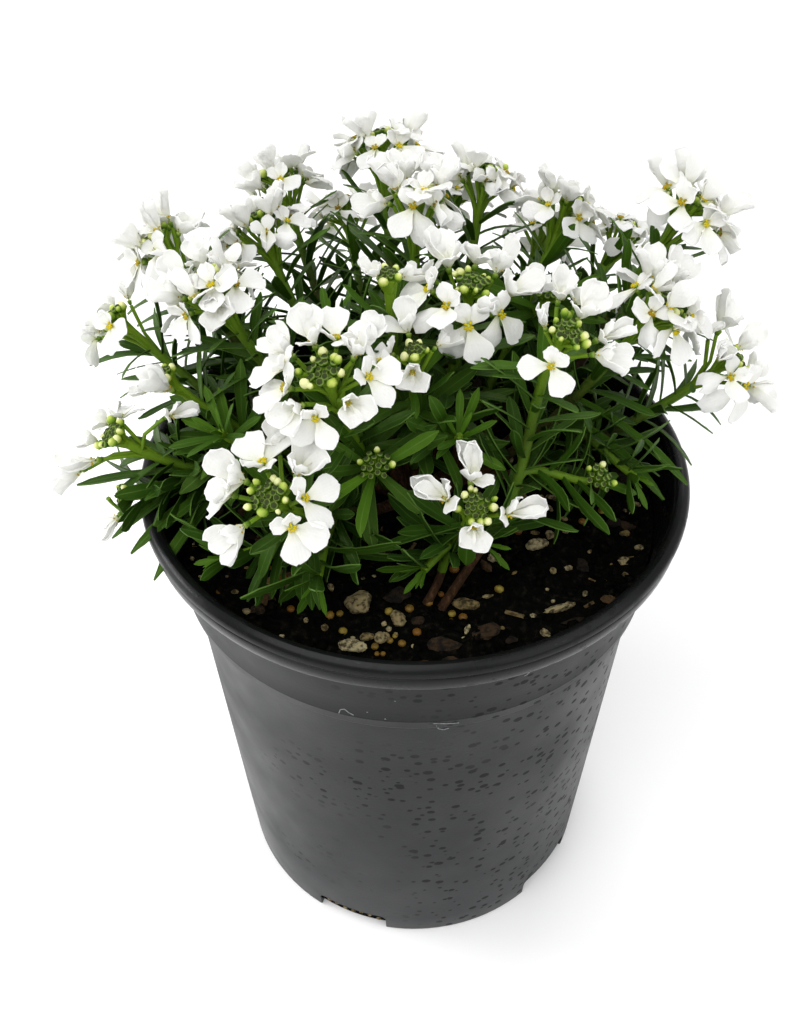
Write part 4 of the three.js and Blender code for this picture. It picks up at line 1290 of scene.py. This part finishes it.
def tone_by_distance(tubes, tips):
    """Gives each point of the tubes its tone, from the tips in mm."""
    tones = []
    for point in tubes.data.vertices:
        nearest = min((point.co / MM - tip).length for tip in tips)
        tones.append(max(0.0, 1.05 - nearest / LIME_REACH))
    set_values(tubes, "tone", tones)


def make_stem(number):
    line = stem_lines[number]
    open_florets, parts, strokes = head_parts(number)
    tips = [Vector(BLOOMS[number][0])]
    strokes.append(taper(line, 14, 1.5, 1.4))
    parts += leaves_on(line, 0.08, 0.88, 1.7, 0.3) + seen_leaves(number)
    for shoot, (parent, share, at, has_buds) in enumerate(SHOOTS):
        if parent != number:
            continue
        side = shoot_lines[shoot]
        tips.append(Vector(at) - Vector((0, 0, 12)))
        until = SHOOT_REACH.get(shoot, 1.0)
        strokes.append(taper(side, 9, 1.3, 1.1, until))
        parts += leaves_on(side, 0.1, 0.97 * until, 1.5, 0.3 if has_buds else 0.4)
        parts += bud_cluster(side, until, strokes) if has_buds else rosette(side, until)
        for clock, *rest in SHOOT_FLORETS.get(shoot, []):
            plan = (math.radians(clock + 180), *rest)
            floret, cup, stroke = place_floret(side.place(until), side.direction(until), side, plan)
            open_florets.append(floret)
            parts.append(cup)
            strokes.append(stroke)
    tubes = draw_tubes("stem_tubes", strokes, stem_finish)
    tone_by_distance(tubes, tips)
    label = f"{number + 1:02d}"
    stem = join_pieces(f"stem_{label}", [tubes, *parts])
    hand_over(stem, "leaf", f"leafy_stem_{label}")
    flowers = join_pieces(f"flowers_{label}", open_florets)
    hand_over(flowers, "petal", f"flower_head_{label}")


for number in range(len(BLOOMS)):
    make_stem(number)

# %% [markdown]
# ## The woody crown
# Under the leaves the old wood forks from a rootstock sunk in the soil. It is drawn with the same tubes,
# from the same places as the solids, and its branches end under the leafy stems' feet. At the front two
# reddish stems rise on their own.


# %% Woody crown
ROOT_DEPTH = 15.7
LIMB_COUNT = 7
LIMB_REACH = 32


def branch_stroke(start, at, tip):
    axis = tip_axis(at, tip)
    end = crown_tip(at, tip) - axis * 0.3
    bend = end - axis * (0.3 * (end - start).length)
    points = [start.lerp(bend, t).lerp(bend.lerp(end, t), t) for t in (0, 0.2, 0.4, 0.6, 0.8, 1)]
    return points, [1.9, 1.8, 1.7, 1.65, 1.6, 1.55]


def limb_of(at):
    """Which limb carries a head, by the way it lies from the middle."""
    turn = math.atan2(at[1], at[0]) / (2 * math.pi) + 1
    return math.floor(turn * LIMB_COUNT) % LIMB_COUNT


def make_crown():
    low = SOIL_LEVEL - ROOT_DEPTH
    trunk = [Vector((0, 2, low + rise)) for rise in (0, 6, 12, 16, 19)]
    strokes = [(trunk, [9, 8.4, 7.4, 6.2, 4.8])]
    middle = Vector((0, 2, SOIL_LEVEL - 2))
    central = [(at, tip) for at, radius, tip in BLOOMS if not tip]
    far = [(at, tip) for at, tip in central if math.hypot(at[0], at[1]) > LIMB_REACH]
    for limb in range(LIMB_COUNT):
        outer = [(at, tip) for at, tip in far if limb_of(at) == limb]
        if not outer:
            continue
        fork = sum((crown_tip(at, tip) for at, tip in outer), Vector()) / len(outer)
        fork = fork.lerp(CROWN_CENTRE, 0.5)
        fork.z = SOIL_LEVEL + 7
        strokes.append(([middle, middle.lerp(fork, 0.5) + Vector((0, 0, 1)), fork], [3.2, 2.7, 2.3]))
        strokes += [branch_stroke(fork, at, tip) for at, tip in outer]
    strokes += [branch_stroke(middle, at, tip) for at, tip in central if (at, tip) not in far]
    return draw_tubes("crown_wood", strokes, wood_finish, 2)


def make_front_crown():
    low = SOIL_LEVEL - ROOT_DEPTH
    strokes = [([Vector((5, -43, low + rise)) for rise in (0, 6, 11, 14)], [4.4, 4.2, 3.4, 2.0])]
    for foot, number in (((7.2, -43.4), 16), ((2.6, -42.8), 21)):
        at, radius, tip = BLOOMS[number]
        points, radii = branch_stroke(Vector((*foot, SOIL_LEVEL - 3)), at, tip)
        strokes.append((points, [0.76 * thick for thick in radii]))
    return draw_tubes("crown_wood_front", strokes, wood_finish, 2)


hand_over(make_crown(), "bark", "woody_crown")
hand_over(make_front_crown(), "bark", "woody_crown_front")

# %% [markdown]
# ## The pot
# A nursery pot is moulded round its axis, so its wall is one profile, drawn point by point with extrude and
# spun about Z: foot, tapering body, step, collar, rolled rim, and back down the inside to the floor. The
# drainage notches are cut with a rounded block, five times.

# %% Pot
POT_PROFILE = [
    (62.8, 0), (63.6, 0.3), (64, 1.2), (64.5, 9.9), (66, 36), (68, 73), (70, 109.5), (71.5, 136.2),
    (71.8, 137.2), (72.7, 137.9), (73.6, 138.4), (74.05, 139.2), (74.3, 142), (74.55, 142.4),
    (74.5, 142.9), (75.2, 150), (75.9, 157), (76.5, 161.5), (77.1, 164.6), (77.7, 165.4), (80.5, 165.6),
    (81.3, 165.9), (81.6, 166.6), (82.1, 169.9), (81.95, 170.4), (81.4, 170.8), (81.4, 171.1),
    (82.15, 171.3), (82.5, 171.8), (82.5, 172.8), (82.2, 173.7), (81.5, 174.5), (80.5, 175),
    (79.4, 174.85), (78.7, 174.3), (78.5, 173.7), (77.9, 173.2), (77.6, 172), (77.1, 169.4),
    (76.4, 166), (75.8, 163), (75.3, 160.6), (74.6, 157), (73.3, 148.5), (72, 140.2), (71.7, 139),
    (70.9, 138.1), (70.3, 137), (70.1, 135.4), (68.4, 104), (66.6, 70), (64.8, 36), (63.38, 9.9),
    (63, 3), (62.6, 2.2),
]
OUTSIDE = POT_PROFILE[2:31]
RIM_FOOT = 165.5
NOTCH_COUNT = 5
NOTCH_WIDTH, NOTCH_HEIGHT = 26, 9
FIRST_NOTCH = math.radians(-110.5)
WELD = 0.01 * MM


def wall_radius(height):
    """The radius of the pot's outside at a height, both in mm."""
    for (inner, low), (outer, high) in zip(OUTSIDE, OUTSIDE[1:]):
        if height <= high:
            return inner + (outer - inner) * max(0.0, height - low) / (high - low)
    return OUTSIDE[-1][0]


def draw_profile(name, profile):
    """A chain of points in the XZ plane, drawn by extruding one point after another."""
    deselect_all()
    bpy.ops.mesh.primitive_plane_add(size=MM, location=(0, 0, 0))
    body = bpy.context.object
    body.name = name
    bpy.ops.object.mode_set(mode="EDIT")
    bpy.ops.mesh.select_all(action="SELECT")
    bpy.ops.mesh.merge(type="CENTER")
    bpy.ops.transform.translate(value=(profile[0][0] * MM, 0, profile[0][1] * MM))
    for one, other in zip(profile, profile[1:]):
        move = ((other[0] - one[0]) * MM, 0, (other[1] - one[1]) * MM)
        bpy.ops.mesh.extrude_region_move(TRANSFORM_OT_translate={"value": move})
    return body


def close_ring(body, radius, height):
    """Fills the ring of edges at a height and radius with one face."""
    select_points(body, lambda point: abs(point.co.z - height * MM) < 5 * WELD
                  and abs(math.hypot(point.co.x, point.co.y) - radius * MM) < 5 * WELD)
    bpy.ops.mesh.edge_face_add()


def spin_profile(name, profile, steps):
    """A profile turned round Z, its two ends closed and all its faces pointing outwards."""
    body = draw_profile(name, profile)
    bpy.ops.mesh.select_all(action="SELECT")
    bpy.ops.mesh.spin(steps=steps, angle=2 * math.pi, center=(0, 0, 0), axis=(0, 0, 1))
    bpy.ops.mesh.select_all(action="SELECT")
    bpy.ops.mesh.remove_doubles(threshold=WELD)
    close_ring(body, *profile[0])
    close_ring(body, *profile[-1])
    bpy.ops.mesh.select_all(action="SELECT")
    bpy.ops.mesh.normals_make_consistent(inside=False)
    bpy.ops.object.mode_set(mode="OBJECT")
    return body


def make_pot():
    body = spin_profile("pot_shell", POT_PROFILE, 128)
    for number in range(NOTCH_COUNT):
        cut_notch(body, FIRST_NOTCH + 2 * math.pi * number / NOTCH_COUNT)
    body.data.materials.append(pot_finish)
    body.data.materials.append(rim_and_inside_shade_finish)
    # The rim and the inside of the wall take the darker copy, which paints the shade inside the pot.
    for face in body.data.polygons:
        reach, height = math.hypot(face.center.x, face.center.y) / MM, face.center.z / MM
        if height > RIM_FOOT or 2 < height and reach < wall_radius(height) - 1:
            face.material_index = 1
    shade_smooth(body, 32)
    return body


def cut_notch(body, angle):
    """Cuts a rounded block out of the foot; half of the block is under the bench."""
    deselect_all()
    middle = 60 * MM
    bpy.ops.mesh.primitive_cube_add(size=1, location=(middle, 0, 0))
    cutter = bpy.context.object
    size = (20 * MM, NOTCH_WIDTH * MM, 2 * NOTCH_HEIGHT * MM)
    bpy.ops.transform.resize(value=size, center_override=(middle, 0, 0))
    bpy.ops.object.transform_apply(location=True, rotation=True, scale=True)
    apply_modifier(cutter, "BEVEL", width=2.5 * MM, segments=4, limit_method="ANGLE")
    cutter.data.transform(Matrix.Rotation(angle, 4, "Z"))
    apply_modifier(body, "BOOLEAN", operation="DIFFERENCE", object=cutter, solver="EXACT")
    bpy.data.objects.remove(cutter)


hand_over(make_pot(), "pot_plastic", "pot")

# %% [markdown]
# The step under the collar carries a few threads of moulding flash, so thin that only their shine is
# seen; they are drawn pale grey, a painted highlight. Each is a line of pixels, laid on the wall and drawn
# as a fine tube.

# %% Moulding flash
FLASH_RADIUS = 0.13
FLASH_LINES = [
    ((338.9, 713), (340.3, 709.5), (344.5, 709), (348.7, 712.5), (353.6, 715)),
    ((436.7, 725.7), (438.3, 728.5), (443.6, 729.7), (449, 728)),
    ((432.9, 723.4), (446, 723.6), (458.9, 722.8)),
    ((366.5, 712), (367.8, 712.2)),
    ((384.5, 718.8), (386, 719)),
    ((394.4, 701), (395.8, 701.2)),
    ((524, 676), (527, 674.5), (529.5, 672)),
]


def on_wall(px, py):
    """Where the ray through a pixel meets the outside of the pot, in mm."""
    start, ray = ray_through(px, py)
    point = at_height(px, py, OUTSIDE[-1][1])
    while math.hypot(point.x, point.y) > wall_radius(point.z) and point.z > 0:
        point = point + ray * 0.1
    return point


flash = [([on_wall(*pixel) for pixel in line], [FLASH_RADIUS] * len(line)) for line in FLASH_LINES]
hand_over(draw_tubes("pot_flash", flash, flash_highlight_finish), "pot_plastic")

# %% [markdown]
# ## The soil
# The soil is spun as the pot is, with close rings on its top, and then the top is raised and lowered: by
# the same slow waves as the solid's, and by two finer noises for clods and crumbs.

# %% Soil body
SOIL_RIM = 74.1
SOIL_PROFILE = [(0.5, 2.5), (30, 2.5), (62.4, 2.5), (69.8, 136.6), (71.5, 140.4), (73.8, 154.5)]
SOIL_RINGS = 38


def make_soil():
    rings = [(SOIL_RIM * (1 - step / SOIL_RINGS), SOIL_LEVEL) for step in range(SOIL_RINGS)]
    body = spin_profile("soil_body", SOIL_PROFILE + rings, 144)
    for point in body.data.vertices:
        if point.co.z > (SOIL_LEVEL - 1) * MM:
            point.co.z = soil_height(point.co.x / MM, point.co.y / MM) * MM
    body.data.materials.append(soil_finish)
    shade_smooth(body, 60)
    return body


def soil_height(x, y):
    """The height of the soil's top, in mm: waves, clods and crumbs, all fading towards the wall."""
    edge = min(1, (SOIL_RIM - math.hypot(x, y)) / 4)
    clods = 1.6 * noise.noise(Vector((0.12 * x, 0.12 * y, 3)))
    crumbs = 1.2 * noise.noise(Vector((0.42 * x, 0.42 * y, 8)))
    return soil_top(x, y) * edge + (SOIL_LEVEL + 0.4) * (1 - edge) + (clods + crumbs) * max(edge, 0.3)


hand_over(make_soil(), "soil", "soil")

# %% [markdown]
# ## Loose pieces in the soil
# Perlite, prills, bark and straw are lumps that differ by chance, so each kind has a few templates: a
# rounded body or a block whose points are pushed about at random. A large lump of perlite shows knobs of its
# own, so it has templates with more points. Crumbs of soil come in hundreds and have very few.

# %% Lump templates
PERLITE_SHAPE = (1, 0.85, 0.8)


def rough_template(name, start, stretch, jitter, finish, seed, degrees=40):
    """A lump about two millimetres long: a primitive with its points pushed about."""
    deselect_all()
    if start == "block":
        bpy.ops.mesh.primitive_cube_add(size=2 * MM)
    else:
        bpy.ops.mesh.primitive_ico_sphere_add(subdivisions=1 if start == "grain" else 2, radius=MM)
    body = bpy.context.object
    body.name = name
    bpy.ops.object.mode_set(mode="EDIT")
    if start == "block":
        bpy.ops.mesh.subdivide(number_cuts=2)
    bpy.ops.transform.resize(value=stretch, center_override=(0, 0, 0))
    bpy.ops.transform.vertex_random(offset=jitter * MM, uniform=0.0, normal=0.0, seed=seed)
    bpy.ops.object.mode_set(mode="OBJECT")
    if start == "block":
        apply_modifier(body, "BEVEL", width=0.08 * MM, segments=1, limit_method="ANGLE")
    body.data.materials.append(finish)
    shade_smooth(body, degrees)
    return body


def knobbly_template(number):
    """A perlite lump large enough for its own knobs and hollows to show."""
    body = rough_template(f"perlite_knob_{number}", "ball", PERLITE_SHAPE, 0.36, perlite_finish, number + 30)
    apply_modifier(body, "SUBSURF", levels=1)
    bpy.ops.object.mode_set(mode="EDIT")
    bpy.ops.mesh.select_all(action="SELECT")
    bpy.ops.transform.resize(value=(1.14, 1.14, 1.14), center_override=(0, 0, 0))
    bpy.ops.transform.vertex_random(offset=0.15 * MM, uniform=0.0, normal=0.0, seed=number)
    bpy.ops.object.mode_set(mode="OBJECT")
    shade_smooth(body, 50)
    return body


LUMPS = {
    "perlite": [rough_template(f"perlite_lump_{n}", "ball", PERLITE_SHAPE, 0.27, perlite_finish, n)
                for n in range(4)],
    "large perlite": [knobbly_template(number) for number in range(4)],
    "prill": [rough_template("prill_ball", "ball", (1, 1, 1), 0.02, prill_finish, 3, 180)],
    "chip": [rough_template(f"chip_flake_{n}", "ball", (1, 0.9, 0.7), 0.34, chip_finish, n + 5, 25)
             for n in range(4)],
    "sliver": [rough_template(f"sliver_block_{n}", "block", (1, 0.9, 0.4), 0.12, sliver_finish, n + 9)
               for n in range(2)],
    "crumb": [rough_template(f"crumb_{n}", "grain", (1, 0.8, 0.7), 0.2, soil_finish, n + 20, 60)
              for n in range(3)],
}
print("lump templates:", {kind: len(templates) for kind, templates in LUMPS.items()})

# %% [markdown]
# The pieces that stand out in the photograph have their places in these lists. A prill is the pixel of its
# middle, its size in pixels, and its tone from dark to light. A lump is the pixel of its middle, its length
# and width in pixels, its turn in degrees and its tone.

# %% Seen lumps
PIXELS_PER_MM = 3.75
SEEN_PRILLS = [
    (499, 591, 11, 1.0), (452, 615, 9, 0.8), (451, 623, 7.5, 0.9), (463, 619, 10, 0.1),
    (429, 604, 9.5, 0.25), (433, 595, 7, 0.5), (441, 596, 7.5, 0.1), (435, 588, 4.5, 0.9),
    (389, 613, 9.5, 0.8), (402, 645, 9, 0.3), (417, 634, 10, 0.05), (390, 642, 7.5, 0.5),
    (395, 637, 6, 0.6), (330, 617, 10, 0.3), (340, 615, 8, 0.6), (343, 633, 10, 0.8),
    (375, 648, 8.5, 0.6), (377, 655, 6, 0.2), (383, 655, 6, 0.2), (291, 610, 9, 0.0),
    (518, 533, 10, 0.0), (454, 571, 12, 0.1), (582, 523, 9, 0.1), (219, 593, 6.5, 0.0),
]
SEEN_LUMPS = {
    "perlite": [
        (494, 559, 13, 13, 0, 1.0), (488, 597, 12, 6, 10, 0.4), (533, 617, 7, 7, 0, 0.9),
        (421, 585, 7, 7, 40, 0.3), (398, 621, 14, 19, 20, 0.35), (384, 639, 12, 12, 0, 0.3),
        (467, 630, 12, 6, 70, 0.9), (464, 639, 6, 5, 0, 0.8), (536, 547, 23, 18, 10, 0.85),
        (554, 499, 18, 8, -15, 0.5), (549, 509, 12, 7, 120, 0.7), (537, 521, 13, 15, 0, 0.35),
        (550, 537, 10, 13, 20, 0.5), (535, 534, 10, 7, 0, 0.1), (553, 572, 7, 12, 10, 0.3),
        (560, 609, 33, 11, 18, 0.6), (553, 602, 5, 5, 0, 0.8), (547, 590, 4, 5, 0, 0.7),
        (585, 595, 6, 9, -20, 0.7), (624, 563, 13, 12, 20, 0.6), (625, 576, 8, 8, 0, 0.15),
        (639, 549, 10, 9, 0, 0.5), (568, 605, 6, 6, 0, 0.6), (564, 520, 9, 8, 0, 0.25),
        (587, 530, 6, 7, 0, 0.5), (565, 533, 8, 7, 0, 0.6), (358, 607, 26, 32, 70, 0.45),
        (352, 648, 28, 16, -12, 0.95), (381, 640, 13, 15, 30, 0.45), (367, 639, 14, 12, 0, 0.2),
        (353, 638, 5, 4, 0, 0.7), (384, 625, 6, 7, 0, 0.6), (389, 630, 6, 8, 20, 0.7),
        (396, 636, 5, 8, 0, 0.3), (306, 621, 6, 8, 0, 0.4), (325, 629, 8, 10, 0, 0.1),
        (331, 589, 7, 12, 30, 0.5), (363, 579, 5, 4, 0, 0.7), (413, 647, 4, 6, 0, 0.8),
        (427, 560, 4, 6, 0, 1.0), (235, 593, 9, 7, 0, 0.1), (227, 577, 4, 4, 0, 0.6),
        (200, 577, 4, 4, 0, 0.6), (466, 606, 27, 17, -10, 0.15),
    ],
    "chip": [
        (487, 634, 33, 24, 10, 0.3), (443, 647, 34, 20, -8, 0.25), (398, 598, 30, 24, 20, 0.1),
        (486, 569, 10, 24, 35, 0.75), (575, 622, 30, 10, 20, 0.1), (418, 622, 16, 12, 0, 0.2),
    ],
    "sliver": [
        (508, 613, 36, 6, -25, 0.6), (571, 617, 11, 4, 25, 0.9), (589, 605, 12, 4, 30, 0.4),
        (607, 581, 6, 3, 0, 0.8), (592, 580, 9, 2.5, -40, 0.5), (314, 644, 7, 4, 0, 0.3),
    ],
}


def on_soil(px, py):
    """Where the ray through a pixel meets the soil, in mm."""
    level = SOIL_LEVEL
    for step in range(4):
        point = at_height(px, py, level)
        level = soil_height(point.x, point.y)
    return point


print("seen prills:", len(SEEN_PRILLS), "other seen lumps:", sum(map(len, SEEN_LUMPS.values())))

# %% [markdown]
# Each lump is stretched to its length and width, tipped a little and sunk by a share of its height, as
# pieces are that have been watered in. The seen ones are laid first, and others are strewn between them.


# %% Laying and strewing
LARGE_LUMP = 2.4
CROWN_CLEARANCE = 11
NOTCH_PERLITE = 7


def lump_height(kind, width):
    return (0.75 if kind in ("perlite", "prill") else 0.5) * width


def shape_lump(kind, place, length, width, turn, tone):
    """A lump of one kind at a place in mm, a little tipped."""
    scale = Matrix.Diagonal((0.5 * length, 0.5 * width, 0.5 * lump_height(kind, width), 1))
    roll = Matrix.Rotation(chance.uniform(-0.3, 0.3), 4, "X")
    pitch = Matrix.Rotation(chance.uniform(-0.2, 0.2), 4, "Y")
    spot = Matrix.Translation(place * MM) @ Matrix.Rotation(math.radians(turn), 4, "Z")
    large = kind == "perlite" and length > LARGE_LUMP
    template = chance.choice(LUMPS["large perlite" if large else kind])
    return copy_to(template, spot @ (roll @ pitch) @ scale, tone)


def lay_piece(kind, at, length, width, turn, tone, sink):
    lift = lump_height(kind, width) * (0.5 - sink)
    place = Vector((at.x, at.y, soil_height(at.x, at.y) + lift))
    return shape_lump(kind, place, length, width, turn, tone)


def seen_pieces(kind):
    if kind == "prill":
        rows, sink = [(px, py, size, size, 0, tone) for px, py, size, tone in SEEN_PRILLS], 0.1
    else:
        rows, sink = SEEN_LUMPS.get(kind, []), 0.15
    return [lay_piece(kind, on_soil(px, py), length / PIXELS_PER_MM, width / PIXELS_PER_MM, turn, tone, sink)
            for px, py, length, width, turn, tone in rows]


seen_places = [on_soil(px, py) for px, py, *rest in sum(SEEN_LUMPS.values(), SEEN_PRILLS)]


def strew(kind, count, length, slim, sink):
    """Random pieces of one kind over the soil, off the crown and off the seen pieces."""
    laid = []
    while len(laid) < count:
        reach = SOIL_RIM * math.sqrt(chance.uniform(0.01, 1)) - 2
        angle = chance.uniform(0, 2 * math.pi)
        at = Vector((reach * math.cos(angle), reach * math.sin(angle), SOIL_LEVEL))
        size = chance.uniform(*length)
        if reach + size / 2 > SOIL_RIM - 1 or math.hypot(at.x, at.y - 2) < CROWN_CLEARANCE + size:
            continue
        if kind != "crumb" and any((at - place).length < 3 + size / 2 for place in seen_places):
            continue
        laid.append(lay_piece(kind, at, size, size * chance.uniform(*slim), chance.uniform(0, 360),
                              chance.uniform(0, 1) ** 2, sink))
    return laid


for kind, count, length, slim, sink in (
    ("perlite", 96, (0.9, 3.2), (0.6, 0.95), 0.3),
    ("prill", 18, (2.0, 2.9), (0.96, 1.0), 0.2),
    ("chip", 90, (3, 8), (0.55, 0.9), 0.25),
    ("sliver", 34, (1.5, 5), (0.15, 0.3), 0.1),
    ("crumb", 820, (1.4, 5.2), (0.6, 1.0), 0.2),
):
    laid = seen_pieces(kind) + strew(kind, count, length, slim, sink)
    if kind == "perlite":
        for number in range(NOTCH_PERLITE):
            turn = FIRST_NOTCH + math.radians(3 * number - 9)
            place = Vector((62.4 * math.cos(turn), 62.4 * math.sin(turn), chance.uniform(3.2, 5.4)))
            laid.append(shape_lump(kind, place, 2.0, 1.6, 0, chance.uniform(0, 0.5)))
    hand_over(join_pieces(f"soil_{kind}", laid), "soil")

# %% [markdown]
# ## Clearing the bench
# The templates have done their work and are removed, so only the finished pieces are left.

# %% Clear the templates and finish
for template in [*leaves, *petals, anther, eye, calyx, *florets.values(), cream_bud, green_bud,
                 *sum(LUMPS.values(), [])]:
    bpy.data.objects.remove(template)
